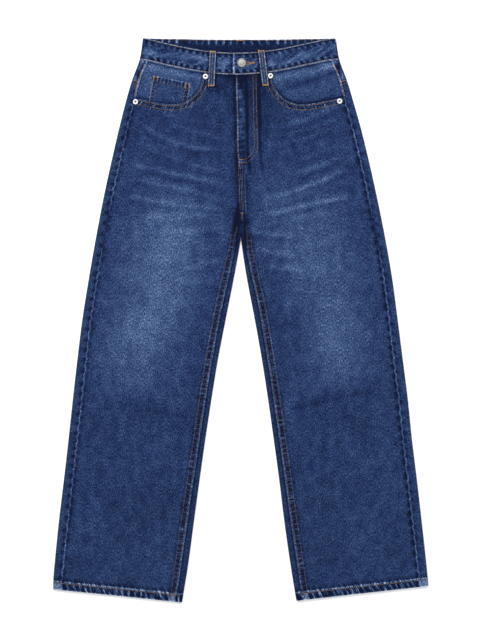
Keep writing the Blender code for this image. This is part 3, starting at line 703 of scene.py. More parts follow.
def from_side_seam(side, x, drop):
    """How far a point lies from the pale line that wanders along the side seam."""
    wander = 0.0010 * side_turns(side, drop) * (drop > 0.12)
    return np.abs(x - seam_x(side, drop) + side * wander) + 0.0003


def from_hem(side, x, drop):
    """How far a point lies from the hem's worn edge, or from the ridge above its stitches."""
    up = hem_drop(side, x) - drop
    return np.minimum(0.0002 + 0.8 * np.abs(up), 0.0007 + np.abs(up - HEM_DEPTH - 0.0012))


def hem_ticks(side, x, drop):
    """Where the hem's stitching gathers the cloth."""
    return 1.1 * until(hem_drop(side, x) - drop, HEM_DEPTH + 0.004, 0.003)


cloth_pieces = []
# The inside copy is darker: painted shade on the faces that lie within the garment
panel_denim = (denim("denim_panel"), denim("denim_inside_painted_shade", base=-0.08))
RISE_STEPS = 84  # rows of the back panel above the leg
LEG_STEPS = 226
HEM_STEPS = 16
HEM_SHARE = 1 - HEM_DEPTH / (HEM_OUTER[RIGHT] - LEG_OUTER)  # of the leg, down to the hem
rise_shares = np.linspace(0, 0.99, RISE_STEPS)
above_hem = np.linspace(0, HEM_SHARE - 0.012, LEG_STEPS)
leg_shares = np.concatenate([above_hem, np.linspace(HEM_SHARE - 0.0105, 1, HEM_STEPS)])
in_hem = leg_shares > HEM_SHARE + 0.0015
full_rows = np.concatenate([np.zeros(RISE_STEPS, bool), in_hem])

for side, word in SIDES:
    crotch_drop = leg_drops(side, 0)[2] - FOLD
    legs = np.array([leg_row(side, share) for share in leg_shares])
    rises = np.full((RISE_STEPS, legs.shape[1], 3), np.nan)
    for i, share in enumerate(rise_shares):

        def on_top(x):
            return lerp(yoke_seam_top(x) + SEAM, LEG_OUTER, share)

        def below(x):
            crotch_line = lerp(crotch_drop, LEG_OUTER, np.abs(x) / half_width(LEG_OUTER))
            return lerp(yoke_seam(x) + SEAM, crotch_line, share)

        row = rise_row(side, on_top, below)
        rises[i, : len(row)] = row
    rows = np.concatenate([rises, legs])
    x, drop = rows[..., 0], rows[..., 1]
    columns = np.arange(rows.shape[1])
    outer_strip = columns < STRIP_POINTS + ARC_IN_FRONT
    inner_strip = columns >= rows.shape[1] - INNER_POINTS - ARC_IN_FRONT
    front = outer_strip | inner_strip
    wash = np.where(inner_strip, -0.04, np.where(outer_strip, 0.03, back_wash(x, drop)))
    patches = front * hem_patches(side, x, drop)
    tone = lerp(0.30 + seam_tone(side, x, drop) + wash, 0.74, 0.9 * patches)
    # Painted shade at the crotch, where the legs part
    tone = tone - 0.20 * front * ridge(x, 0.014) * ridge(drop - 0.372, 0.022)
    from_side = np.where(columns < STRIP_POINTS, from_side_seam(side, x, drop), 1)
    from_inseam = np.where(inner_strip, np.abs(x - inseam_x(side, drop)), 1)
    # A line of painted shade beside the inseam
    tone = tone - 0.16 * ridge(from_inseam - 0.0018, 0.0016)
    edge = np.minimum.reduce([from_side, from_inseam, from_hem(side, x, drop)])
    edge = edge + 0.0030 * ridge(drop - 0.356, 0.030)
    drawn = hem_ticks(side, x, drop) * (1 - patches)
    node = f"back_panel_{word}"
    cloth(node, rows, tone, edge, panel_denim, HEM_WALL, full_rows, drawn=drawn)

# ===================================================================== yokes
# A shaped piece across each side of the back, between the back panel and the waistband.
# It is seamed to both and comes round the side fold to the side seam.

for side, word in SIDES:
    rows = []
    for share in np.linspace(0, 1, 22):

        def on_top(x):
            return lerp(front_dip(x) + BAND_HEIGHT + WAIST_SEAM, yoke_seam_top(x), share)

        def below(x):
            return lerp(back_dip(x) + BAND_HEIGHT + WAIST_SEAM, yoke_seam(x), share)

        rows.append(rise_row(side, on_top, below))
    rows = np.array(rows)
    x, drop = rows[..., 0], rows[..., 1]
    strip = np.arange(rows.shape[1]) < STRIP_POINTS
    patches = 0.30 * grain(x, drop, 0.007, 0.009, 71) + 0.06
    tone = 0.30 + np.where(strip, patches, back_wash(x, drop))
    edge = np.where(strip, np.abs(x - seam_x(side, drop)), np.abs(drop - yoke_seam(x)))
    cloth(f"yoke_{word}", rows, tone, edge, panel_denim, CLOTH)

# ============================================================== back pockets
# Two patch pockets of one layer of denim, topstitched round three sides and left open
# along a hemmed upper edge. They lie on the outside of the back panels.

POCKET_FOOT = 0.066
POCKET_SIDE = 0.140
POCKET_COLUMNS = 61
POCKET_ROWS = 66

for side, word in SIDES:
    across = np.linspace(-1, 1, POCKET_COLUMNS)[None, :]
    down = np.linspace(0, 1, POCKET_ROWS)[:, None]
    depth = lerp(BACK_POCKET_DEPTH, POCKET_SIDE, np.abs(across)) * down
    half = lerp(BACK_POCKET_HALF, POCKET_FOOT, np.minimum(depth / POCKET_SIDE, 1))
    x = side * BACK_POCKET_X + across * half
    drop = BACK_POCKET_DROP + depth
    from_side = half * (1 - np.abs(across))
    from_foot = lerp(BACK_POCKET_DEPTH, POCKET_SIDE, np.abs(across)) - depth
    edge = np.minimum(np.minimum(from_side, from_foot), depth)
    ropes = roping(x, depth, 0.012, 0.4, 83) * until(depth, 0.022, 0.004)
    puckers = roping(drop, from_side, 0.012, 0.3, 85) * ridge(from_side, 0.008)
    worn = 0.08 * ridge(across * half, 0.045) * ridge(depth - 0.08, 0.06)
    tone = 0.33 + worn + 0.10 * ropes + 0.10 * puckers
    height = 0.00018 * np.maximum(ropes + puckers, 0) * ease(edge / 0.002)
    rows = points_at(x, drop, height)
    node, held_on = f"back_pocket_{word}", [f"back_panel_{word}_cloth"]
    cloth(node, rows, tone, edge, panel_denim, BACK_POCKET_WALL, faces_up=False)

# =========================================== pocket facings and coin pocket
# Denim that shows inside the scooped front pockets, sewn into the waist and side seams.
# The small coin pocket is topstitched on the wearer's right one.

POCKET_CENTRE = -0.0064
MOUTH_TOP_REACH = 0.0612
FACING_DROPS = {RIGHT: 0.0034, LEFT: 0.0020}
FACING_TUCK = 0.011
FACING_ROWS = 40
FACING_COLUMNS = 62
COIN_WALL = 0.0012
COIN_TOP = np.array([(-0.1620, 0.0692), (-0.0925, 0.0842)])
COIN_BOTTOM = np.array([(-0.1715, 0.1270), (-0.1010, 0.1300)])
COIN_WIDTH = 0.0705
COIN_COLUMNS = 30
COIN_ROWS = 25

Mouth = namedtuple("Mouth", "reach drop")
MOUTH = [
    Mouth(0.1940, 0.1110),
    Mouth(0.1780, 0.1140),
    Mouth(0.1540, 0.1187),
    Mouth(0.1320, 0.1225),
    Mouth(0.1140, 0.1228),
    Mouth(0.0990, 0.1195),
    Mouth(0.0870, 0.1130),
    Mouth(0.0770, 0.1035),
    Mouth(0.0692, 0.0910),
    Mouth(0.0640, 0.0775),
]
mouth_depth = curves(sorted(MOUTH))[0]


def above_mouth(side, x, drop):
    """How far up into the pocket mouth a point lies, and 0 below it."""
    reach = side * (x - POCKET_CENTRE)
    inside = np.minimum(mouth_depth(reach) - drop, reach - MOUTH_TOP_REACH)
    return np.maximum(inside, 0.0)


def facing_top(side, x, drop):
    """Height of the pocket facing: deep at the mouth, level with the side seam's strip."""
    above = above_mouth(side, x, drop)
    sunk = FACING_DROPS[side] * (1 - 0.35 * ease(above / 0.05))
    from_seam = side * (seam_x(side, drop) - x)
    sunk = sunk * (1 - (above > 0) * ease(above / 0.014 - 0.2) * until(from_seam, 0, 0.012))
    return top(x, drop) - sunk


for side, word in SIDES:
    inner = POCKET_CENTRE + side * (MOUTH_TOP_REACH - FACING_TUCK)
    along = np.linspace(0, 1, FACING_COLUMNS)[None, :]
    share = np.linspace(0, 1, FACING_ROWS)[:, None]
    drop = np.full((FACING_ROWS, FACING_COLUMNS), BAND_HEIGHT)
    for _ in range(4):  # x and drop follow from each other
        x = lerp(seam_x(side, drop) - side * SEAM / 2, inner, along)
        start = front_dip(x) + BAND_HEIGHT + WAIST_SEAM
        drop = lerp(start, mouth_depth(side * (x - POCKET_CENTRE)) + FACING_TUCK, share)
    rows = points_at(x, drop, facing_top(side, x, drop))
    from_band = drop - start
    # Painted light and shade of crumples near the waistband
    crumple_light_and_shade = grain(x + drop, drop, 0.014, 0.008, 91) * ridge(from_band, 0.018)
    # Painted shade under the front's pocket edge
    in_mouth = 0.30 * until(above_mouth(side, x, drop), 0, 0.009)
    tone = 0.42 + 0.13 * crumple_light_and_shade - in_mouth + 0.04 * grain(x, drop, 0.03, 0.02, 93)
    # Painted shade just under the waistband, and a paler band below it
    tone = tone - 0.14 * ridge(from_band - 0.001, 0.0030) + 0.10 * ridge(from_band - 0.011, 0.007)
    # Left facing: darker overall, and a painted fold: painted light above painted shade
    if side == LEFT:
        tone = tone - 0.05 + 0.07 * ridge(drop - lerp(0.086, 0.046, (x - 0.05) / 0.12), 0.007)
        tone = tone - 0.13 * ridge(drop - lerp(0.104, 0.060, (x - 0.06) / 0.12), 0.005)
    edge = np.minimum(np.abs(x - seam_x(side, drop)), from_band + 0.0006)
    cloth(f"pocket_facing_{word}", rows, tone, edge, panel_denim, CLOTH - 0.0001)

across = np.linspace(0, 1, COIN_COLUMNS)[None, :, None]
down = np.linspace(0, 1, COIN_ROWS)[:, None, None]
upper, lower = lerp(*COIN_TOP, across), lerp(*COIN_BOTTOM, across)
x, drop = np.moveaxis(lerp(upper, lower, down), -1, 0)
from_top = (lower - upper)[0, :, 1] * down[..., 0]
from_side = COIN_WIDTH * np.minimum(across, 1 - across)[..., 0]
hem_tone = 0.40 * roping(x, from_top, 0.0065, 0.2, 95) * until(from_top, 0.010, 0.002)
side_tone = 0.28 * roping(drop, from_side, 0.006, 0.2, 97) * until(from_side, 0.007, 0.002)
height = facing_top(RIGHT, x, drop) + CLEAR + COIN_WALL
height = height + 0.0003 * until(from_top, 0.009, 0.002) + 0.0006 * (hem_tone + side_tone)
rows = points_at(x, drop, height)
edge = np.minimum(from_top, from_side)
# Painted shade near the front's pocket edge
in_mouth = 0.16 * ridge(above_mouth(RIGHT, x, drop), 0.006)
tone = 0.34 + hem_tone + side_tone - in_mouth + 0.05 * grain(x, drop, 0.006, 0.014, 99)
cloth("coin_pocket", rows, tone, edge, panel_denim, COIN_WALL)

# ==================================================================== fronts
# The two fronts run from the waistband to the hem, cut away in a scoop at each pocket.
# The wearer's left front is folded at the fly and laps over the right one.

FRONT_LOOPS = (
    ("belt_loop_front_right", (-0.0514, 0.0235), (-0.0549, 0.0900)),
    ("belt_loop_front_left", (0.0376, 0.0225), (0.0462, 0.0890)),
)
FLY_END = 0.247
UNDERLAP = 0.014
LAP_STEP = 0.011
LAP_END = 0.012
FRONT_COLUMNS = 104

Centre = namedtuple("Centre", "drop x")
CENTRE_FRONT = [
    Centre(0.068, -0.0090),
    Centre(0.150, -0.0068),
    Centre(0.225, -0.0044),
    Centre(0.247, -0.0012),
    Centre(0.299, 0.0011),
    Centre(0.341, 0.0033),
]
centre_front = curves(CENTRE_FRONT)[0]

# Paler lines that wearing has set across the hips, from the crotch out: both ends, how far
# the middle is bowed down, the width and how pale it is.
Whisker = namedtuple("Whisker", "x drop end_x end_drop bow width tone")
WHISKERS = [
    Whisker(-0.192, 0.152, -0.028, 0.206, 0.016, 0.0042, 0.12),  # wearer's right, from the top
    Whisker(-0.168, 0.130, -0.016, 0.164, 0.006, 0.0045, 0.05),
    Whisker(-0.142, 0.152, -0.021, 0.188, 0.002, 0.0042, 0.06),
    Whisker(-0.186, 0.193, -0.026, 0.249, 0.006, 0.0045, 0.06),
    Whisker(-0.210, 0.230, -0.024, 0.270, 0.002, 0.0042, 0.14),
    Whisker(-0.212, 0.257, -0.018, 0.301, -0.002, 0.0045, 0.11),
    Whisker(-0.221, 0.289, -0.020, 0.318, 0.003, 0.0040, 0.15),
    Whisker(-0.201, 0.331, -0.020, 0.324, 0.002, 0.0070, 0.09),
    Whisker(-0.152, 0.360, -0.020, 0.346, 0.003, 0.0048, 0.09),
    Whisker(-0.118, 0.427, -0.032, 0.405, 0.005, 0.0042, 0.10),
    Whisker(-0.107, 0.455, -0.045, 0.442, 0.002, 0.0042, 0.05),
    Whisker(0.054, 0.165, 0.180, 0.126, 0.005, 0.0050, 0.10),  # wearer's left, from the top
    Whisker(0.049, 0.182, 0.190, 0.145, 0.005, 0.0042, 0.07),
    Whisker(0.050, 0.200, 0.193, 0.157, 0.006, 0.0042, 0.07),
    Whisker(0.068, 0.214, 0.186, 0.178, 0.003, 0.0040, 0.05),
    Whisker(0.090, 0.225, 0.178, 0.202, 0.002, 0.0042, 0.05),
    Whisker(0.095, 0.254, 0.192, 0.216, 0.001, 0.0045, 0.10),
    Whisker(0.029, 0.298, 0.205, 0.234, 0.010, 0.0045, 0.15),
    Whisker(0.024, 0.312, 0.162, 0.270, 0.006, 0.0040, 0.07),
    Whisker(0.029, 0.327, 0.214, 0.285, 0.004, 0.0048, 0.14),
    Whisker(0.054, 0.339, 0.176, 0.322, 0.002, 0.0045, 0.05),
    Whisker(0.010, 0.355, 0.118, 0.363, 0.004, 0.0045, 0.10),
    Whisker(0.024, 0.387, 0.106, 0.405, 0.000, 0.0045, 0.11),
    Whisker(0.040, 0.418, 0.118, 0.431, 0.001, 0.0045, 0.09),
]


def whisker_tone(x, drop):
    total = 0.0 * x
    swell = 1.0 + 0.4 * grain(x, drop, 0.025, 0.03, 101)
    wander = 0.0016 * grain(x, drop, 0.02, 0.03, 103)
    for line in WHISKERS:
        t, off = by_line(line, x, drop)
        off = (off + wander) / line.width
        shape = ridge(off, 1.1) - 0.45 * ridge(off - 2.1, 1.2)
        total = total + 0.88 * line.tone * shape * ease(8 * t) * ease(6 * (1 - t)) * swell
    return total


def front_wash(x, drop):
    """How pale the front is: worn on the thighs, down to the crease at the knee."""
    right_x = -0.126 - 0.88 * np.maximum(drop - 0.30, 0) ** 2
    left_x = 0.120 + 0.245 * (drop - 0.318)
    left_width = lerp(0.085, 0.056, past(drop, 0.40, 0.18))
    along = past(drop, 0.22, 0.15) * until(drop, 0.52, 0.20)
    right = ridge(x - right_x, 0.072) * along
    left = ridge(x - left_x, left_width) * along
    knees = 0.05 * ridge(np.abs(x) - 0.17, 0.07) * ridge(drop - 0.62, 0.06)
    mottle = 0.035 * grain(x, drop, 0.012, 0.022, 105) + 0.03 * grain(x, drop, 0.055, 0.06, 107)
    hips = 0.03 * until(drop, 0.14, 0.08)
    return 0.22 * right + 0.18 * left + knees + mottle - hips + whisker_tone(x, drop)


# Painted shade along the knee creases: each crease, and how dark it is painted
KNEES = ((CREASES[0], 0.45), (CREASES[2], 0.75))  # the knee creases, and how much each darkens


def knee_crease_shade(x, drop):
    """Painted shade at each knee crease: a dark line in a softer, wider band."""
    total = 0.0 * x
    for crease, depth in KNEES:
        t, off = by_line(crease, x, drop)
        ends = ease(7 * t + 0.3) * ease(7 * (1 - t) + 0.3)
        line = 0.09 * ridge(off + 0.0012 * grain(x, drop, 0.006, 0.006, 109), 0.0034)
        shade = 0.07 * ridge(off + 0.006, 0.012) + 0.04 * ridge(off - 0.010, 0.014)
        total = total - depth * ends * (line + shade)
    return total


def underlap(drop):
    """How far the right front runs on below the left one."""
    round_foot = np.clip((drop - (FLY_END - UNDERLAP)) / UNDERLAP, 0, 1)
    return np.where(drop >= FLY_END, -SEAM / 2, UNDERLAP * np.sqrt(1 - round_foot**2))


def lap_depth(x, drop):
    """How far the right front lies below the left one, from just before the fly edge."""
    step = past(x - centre_front(drop), -LAP_STEP - 0.001, LAP_STEP)
    return (CLOTH + CLEAR) * step * until(drop, FLY_END + 0.001, LAP_END)


RISE_ROWS = 92


def walked(points):
    """The way gone along a line, at each of its points."""
    steps = np.linalg.norm(np.diff(points, axis=0), axis=1)
    return np.concatenate([[0], np.cumsum(steps)])


def front_rows(side):
    """The front's points, from its upper edge down the rise, then down the leg."""
    reach = np.linspace(MOUTH[0].reach, MOUTH_TOP_REACH, 200)
    mouth_x = POCKET_CENTRE + side * reach
    mouth_x[0] = seam_x(side, MOUTH[0].drop) - side * SEAM / 2
    end = centre_front(0) + (UNDERLAP if side == RIGHT else 0)
    waist_x = np.linspace(mouth_x[-1], end, 60)
    waist_drop = front_dip(waist_x) + BAND_HEIGHT + WAIST_SEAM
    scoop = mouth_depth(reach)
    last = reach < MOUTH[-1].reach
    share = (reach[last] - reach[-1]) / (MOUTH[-1].reach - reach[-1])
    scoop[last] = lerp(waist_drop[0], MOUTH[-1].drop, share)
    edge_x = np.concatenate([mouth_x, waist_x[1:]])
    edge_drop = np.concatenate([scoop, waist_drop[1:]])
    arc = walked(points_at(edge_x, edge_drop))
    arc /= arc[-1]
    corner = arc[len(reach) - 1]
    in_scoop = round(corner * FRONT_COLUMNS)
    in_waist = np.linspace(corner, 1, FRONT_COLUMNS - in_scoop + 1)[1:]
    shares = np.concatenate([np.linspace(0, corner, in_scoop), in_waist])
    edge_x, edge_drop = np.interp(shares, arc, edge_x), np.interp(shares, arc, edge_drop)
    crotch_seam = seam_x(side, LEG_OUTER) - side * SEAM / 2
    crotch_end = centre_front(CROTCH_POINT) + side * SEAM / 2
    even_x = lerp(crotch_seam, crotch_end, shares)
    rows = []
    for share in np.linspace(0, 0.99, RISE_ROWS):
        drop = lerp(edge_drop, lerp(LEG_OUTER, CROTCH_POINT, shares), share)
        x = lerp(edge_x, even_x, share)
        x += (1 - shares) ** 2 * (seam_x(side, drop[0]) - side * SEAM / 2 - x[0])
        line = centre_front(drop[-1])
        if side == RIGHT:
            line = line + underlap(drop[-1])
        elif drop[-1] >= FLY_END:
            line = line + SEAM / 2
        x += shares**4 * (line - x[-1])
        depth = lap_depth(x, drop) if side == RIGHT else 0
        rows.append(points_at(x, drop, top(x, drop) - depth))
    for share in leg_shares:
        outer_drop, inseam_drop, _ = leg_drops(side, share)
        outer_drop += STRIP_TILT * share
        outer = seam_x(side, outer_drop) - side * SEAM / 2
        x = lerp(outer, inseam_x(side, inseam_drop) + side * SEAM / 2, shares)
        rows.append(row_of(x, lerp(outer_drop, inseam_drop, shares), top))
    return np.array(rows)


def fly_relief(x, drop):
    """The left front's folded fly: a puckered strip, then two soft hollows by its stitching."""
    off = x - centre_front(drop)
    in_fly = past(off, -0.001, 0.002) * until(drop, 0.236, 0.02)
    strip = in_fly * until(off, 0.0125, 0.003)
    puckers = roping(drop, off, 0.011, 0.25, 111) * strip
    hollows = in_fly * (ridge(off - 0.0185, 0.0028) + 0.7 * ridge(off - 0.042, 0.003))
    return puckers, hollows, strip


def mouth_distance(side, x, drop):
    """How far a point of the front lies from the pocket's edge."""
    reach = np.linspace(MOUTH[0].reach, MOUTH_TOP_REACH + 0.001, 90)
    line = points_at(POCKET_CENTRE + side * reach, mouth_depth(reach))
    best = np.full(x.shape, 1.0)
    near = (drop < 0.16) & (side * (x - POCKET_CENTRE) > 0.03)
    gaps = np.hypot(x[near][:, None] - line[None, :, 0], drop[near][:, None] - line[None, :, 1])
    best[near] = gaps.min(axis=1)
    return best


def loop_shade(x, drop, off):
    """The shade beside the front belt loops, at a distance off their edges."""
    total = 0.0 * x
    for _, start, end in FRONT_LOOPS:
        middle = lerp(start[0], end[0], (drop - start[1]) / (end[1] - start[1]))
        aside = np.abs(x - middle) - LOOP_WIDTH / 2 - off
        total = total + ridge(aside, 0.0020) * until(drop, end[1] + 0.001, 0.003)
    return total


for side, word in SIDES:
    rows = front_rows(side)
    x, drop = rows[..., 0], rows[..., 1]
    from_inseam = np.where(drop > CROTCH_POINT, np.abs(x - inseam_x(side, drop)), 1)
    from_mouth = mouth_distance(side, x, drop)
    in_mouth = until(from_mouth, 0.0095, 0.002)
    mouth_ropes = roping(x + 0.8 * drop, from_mouth, 0.0075, 0.25, 113)
    mouth_ropes = mouth_ropes * in_mouth * ease(from_mouth / 0.002)
    in_fell = until(from_inseam, 0.0105, 0.0015) * past(drop, 0.355, 0.015)
    fell_ropes = roping(drop, from_inseam, 0.0085, 0.2, 115) * in_fell
    rows[..., 2] += 0.0005 * in_mouth + 0.00045 * in_fell + 0.0003 * (mouth_ropes + fell_ropes)

    # Wear, ropes, painted shade at the knees and seams, and the gathers between the rows of
    # stitches
    patches = hem_patches(side, x, drop)
    tone = 0.31 + front_wash(x, drop) + knee_crease_shade(x, drop) + seam_tone(side, x, drop)
    tone = tone + 0.15 * mouth_ropes + 0.17 * fell_ropes - 0.10 * in_fell
    tone = lerp(tone, 0.76, 0.9 * patches)
    in_rows = past(from_mouth, 0.0025, 0.0015) * until(from_mouth, 0.0085, 0.002)
    drawn = 1.2 * in_rows + 0.7 * ridge(from_mouth - 0.0135, 0.0025) + hem_ticks(side, x, drop)
    drawn = (drawn - 0.7 * in_fell * past(from_inseam, 0.001, 0.002)) * (1 - patches)

    # Shade under the waistband, beside the fly and the loops, and at the crotch
    under_band = drop - front_dip(x) - BAND_HEIGHT
    tone = tone - 0.06 * in_rows - 0.18 * ridge(under_band, 0.0045)
    tone = tone + 0.12 * ridge(under_band - 0.014, 0.02) * grain(x, drop, 0.006, 0.02, 117)
    tone = tone - 0.12 * ridge(x - 0.034, 0.020) * ridge(drop - 0.110, 0.055)
    tone = tone - 0.12 * ridge(x - 0.010, 0.040) * ridge(under_band - 0.006, 0.014)
    tone = tone - 0.13 * ridge(x + 0.036, 0.022) * ridge(under_band - 0.016, 0.022)
    tone = tone - 0.28 * loop_shade(x, drop, 0.0012)
    off_centre = np.abs(x - 0.5 * (centre_front(drop) + CENTRE_FRONT[-1].x))
    shadow = ridge(off_centre, 0.013) * ridge(drop - 0.356, 0.024)
    sunk = ridge(x + 0.0045 + 0.22 * (drop - 0.318), 0.0036)
    sunk = sunk * past(drop, 0.296, 0.022) * until(drop, 0.332, 0.050)
    by_rise = ridge(off_centre, 0.016) * past(drop, 0.20, 0.03) * (drop < 0.345)
    tone = tone - 0.30 * shadow - 0.60 * sunk - 0.13 * by_rise

    # Distance from what is worn pale: the seams, the pocket's edge, the fell and the hem
    fell_ridge = np.abs(from_inseam - 0.0115) + 0.0009 + (drop < 0.365)
    edge = np.minimum(from_side_seam(side, x, drop), from_hem(side, x, drop))
    edge = np.minimum.reduce([edge, from_mouth, from_inseam, fell_ridge])
    edge = edge + 0.0022 * ridge(drop - 0.360, 0.034)
    from_centre = np.abs(x - centre_front(drop) - (0.0078 if side == LEFT else -0.0034)) + 0.0004
    edge = np.minimum(edge, from_centre + (drop < FLY_END + 0.004) + (drop > 0.325))
    if side == LEFT:
        puckers, hollows, strip = fly_relief(x, drop)
        rows[..., 2] += 0.00035 * puckers + 0.0002 * strip - 0.0006 * hollows
        uneven = 0.20 * grain(x, drop, 0.006, 0.012, 119) + 0.07 * (drop > 0.092)
        # Paler puckers, an uneven strip, and painted shade in the two hollows by the fly's
        # stitching
        tone = tone + 0.12 * puckers + (uneven - 0.04) * strip - 0.34 * hollows
        # Painted shadow below the fly's foot, and painted shade under the band at the fly's top
        step = ridge(drop - FLY_END - 0.0005, 0.0022) * (x < 0.004)
        tone = tone - 0.30 * step - 0.16 * ridge(drop - 0.075, 0.012) * strip
        edge = np.minimum(edge, np.abs(x - centre_front(drop)))
    else:
        # Painted shadow beside the fly's edge
        tone = tone - 0.20 * ridge(x - centre_front(drop) + 0.0036, 0.0032) * (drop < 0.25)
    full_rows = np.concatenate([np.zeros(RISE_ROWS, bool), in_hem])
    node, held_on = f"front_panel_{word}", [f"back_panel_{word}_cloth"]
    cloth(node, rows, tone, edge, panel_denim, HEM_WALL, full_rows, drawn=drawn)

# ================================================================= waistband
# A straight band of two layers of denim, closed round the waist and lapped at the centre
# front with its upper end on the wearer's left.

BAND_WALL = 0.0026
BAND_SEAT = 0.0074
BAND_LIFT = 0.0028
BAND_END = -0.0141
BAND_UNDER_END = 0.031
BAND_STEP = 0.014
BAND_ROWS = 41
UPPER_POINTS = 92  # from the upper end round to the left, then behind, then to the lower end
BEHIND_POINTS = 170
LOWER_POINTS = 98

# The inside copy is darker: painted shade on the inner faces of the band and the loops
band_denim = (denim("denim_band"), denim("denim_band_inside_painted_shade", base=-0.15))


def band_top(x):
    """Height of the waistband's outer face across the front, below its upper end."""
    return BAND_SEAT + BAND_LIFT * until(np.abs(x - 0.008), 0.026, 0.032)


def band_front(x_share, depth):
    x = sway(depth) + x_share * (half_width(depth) - FOLD)
    return x, front_dip(x) + depth, band_top(x)


def band_share(x):
    return (x - sway(0)) / (half_width(0) - FOLD)


rows = []
depths = np.linspace(0, BAND_HEIGHT, BAND_ROWS)
for depth in depths:
    upper_share = np.linspace(band_share(BAND_END), 1, UPPER_POINTS)
    lower_share = np.linspace(-1, band_share(BAND_UNDER_END), LOWER_POINTS)
    upper = points_at(*band_front(upper_share, depth))
    lower = points_at(*band_front(lower_share, depth))
    lower[:, 2] -= (BAND_WALL + CLEAR) * past(lower[:, 0], BAND_END - 0.016, BAND_STEP)
    x = np.linspace(upper[-1][0], lower[0][0], BEHIND_POINTS)
    behind = row_of(x, back_dip(x) + depth, underside)
    left_arc = fold_arc(upper[-1], behind[0], (LEFT, 0))
    right_arc = fold_arc(lower[0], behind[-1], (RIGHT, 0))[::-1]
    rows.append(np.vstack([upper, left_arc, behind, right_arc, lower]))
rows = np.array(rows)
columns = np.arange(rows.shape[1])
below_lap = columns >= rows.shape[1] - LOWER_POINTS
on_front = (columns < UPPER_POINTS) | below_lap
along = walked(rows[BAND_ROWS // 2])[None, :]
depth = depths[:, None]
up = BAND_HEIGHT - depth
to_edge = np.minimum(depth, up)
low_ropes = roping(along, up, 0.0118, 0.10, 121)
high_ropes = 0.75 * roping(along, depth, 0.0122, -0.15, 161)
near_edge = past(to_edge, 0.0018, 0.0012) * until(to_edge, 0.0082, 0.0026)
blobs = np.where(depth > BAND_HEIGHT / 2, low_ropes, high_ropes) * near_edge
diagonal = grain(along + 1.8 * depth, depth - 0.4 * along, 0.0075, 0.016, 123)
front_lift = 0.00045 * blobs + 0.00035 * diagonal * ease(to_edge / 0.004)
rows[..., 2] += np.where(on_front, front_lift, 0.0002 * (1 + blobs))

tone = 0.36 + 0.20 * np.maximum(blobs, 0) + 0.46 * np.minimum(blobs, 0)
tone = tone + 0.22 * diagonal * past(to_edge, 0.005, 0.007)
tone = tone + 0.05 * grain(along, depth, 0.004, 0.012, 125) + 0.05 * past(depth, 0.008, 0.015)
# Painted shade in a line just inside each row of stitches
tone = tone - 0.14 * ridge(depth - 0.0034, 0.0012) - 0.10 * ridge(up - 0.0032, 0.0010)
# Inner face behind: painted shade, deeper past 12 mm down, with pale worn ticks at the top
hanging = np.maximum(roping(along, depth, 0.0140, 0, 163), 0) * until(depth, 0.005, 0.008)
inside = 0.27 + 0.70 * hanging + 0.12 * (tone - 0.37) - 0.06 * past(depth, 0.012, 0.01)
tone = np.where(on_front, tone, inside)
x, drop = rows[..., 0], rows[..., 1]
tone = tone - 0.34 * on_front * loop_shade(x, drop, 0.0014)
# Painted shadow of the band's upper end on the end that runs under it
tone = tone - 0.22 * below_lap * ridge(x - BAND_END + 0.0034, 0.0030)
edge = np.minimum(np.broadcast_to(to_edge, tone.shape), 0.6 * np.abs(along))
cloth("waistband", rows, tone, edge, band_denim, BAND_WALL)

# ================================================================ belt loops
# Five narrow straps of folded denim, each stitched down both long sides and tacked at
# its ends across the waistband. Two show in front and three lie behind.

back_names = ("belt_loop_back_right", "belt_loop_centre_back", "belt_loop_back_left")
back_loops = tuple(
    (name, (x, BACK_LOOP_START), (x, BACK_LOOP_END)) for name, x in zip(back_names, BACK_LOOPS)
)
LOOP_BOW = 0.0008
LOOP_NEAR = 0.006
LOOP_ROWS = 34


def carried(x, drop):
    """The highest cloth under a loop at a point of its length."""
    heights = []
    for across in (-LOOP_WIDTH / 2, 0, LOOP_WIDTH / 2):
        for step in range(-2, 3):
            heights.append(top(x + across, drop + LOOP_NEAR * step / 2))
        if drop < front_dip(x) + BAND_HEIGHT + LOOP_NEAR:
            heights.append(band_top(x + across) + 0.0003)
    return float(max(heights))


across = np.linspace(-1, 1, 9)  # a point for each number of the two lists
rounded = np.array([0, 0.35, 0.15, 0.25, 0.30, 0.25, 0.15, 0.35, 0])  # both stitched sides sink
loop_tone = np.array([0.55, 0.25, 0.19, 0.39, 0.57, 0.39, 0.19, 0.25, 0.55])
loop_edge = LOOP_WIDTH / 2 * (1 - np.abs(across))
for name, start, end in FRONT_LOOPS + back_loops:
    in_front = "front" in name
    rows, tones = [], []
    for share in np.linspace(0, 1, LOOP_ROWS):
        x, drop = lerp(np.array(start), np.array(end), share)
        heights = 0 * across
        if in_front:
            arch = LOOP_WALL + LOOP_BOW * math.sin(math.pi * share) ** 2
            heights = carried(x, drop) + CLEAR + arch + 0.0008 * rounded
        rows.append(points_at(x + across * LOOP_WIDTH / 2, drop, heights))
        wear = grain(across * 0.005, drop, 0.004, 0.005, 131 if in_front else 133)
        tones.append(loop_tone + 0.08 * wear)
    rows, tones = np.array(rows), np.array(tones)
    held_on = ["waistband_cloth"]
    cloth(name, rows, tones, loop_edge, band_denim, LOOP_WALL, faces_up=in_front)

# ================================================================ topstitching
# Tan cotton thread, sewn in rows of long stitches through the cloth already laid. A row
# follows a line of (x, drop) places on the upper or the under side.

STITCH = 0.0030  # from one stitch to the next
STITCH_SIZE = (0.0026, 0.00100, 0.00070)  # long, wide and high
STITCH_STEP = 0.0012  # no stitch bridges a step as high as this


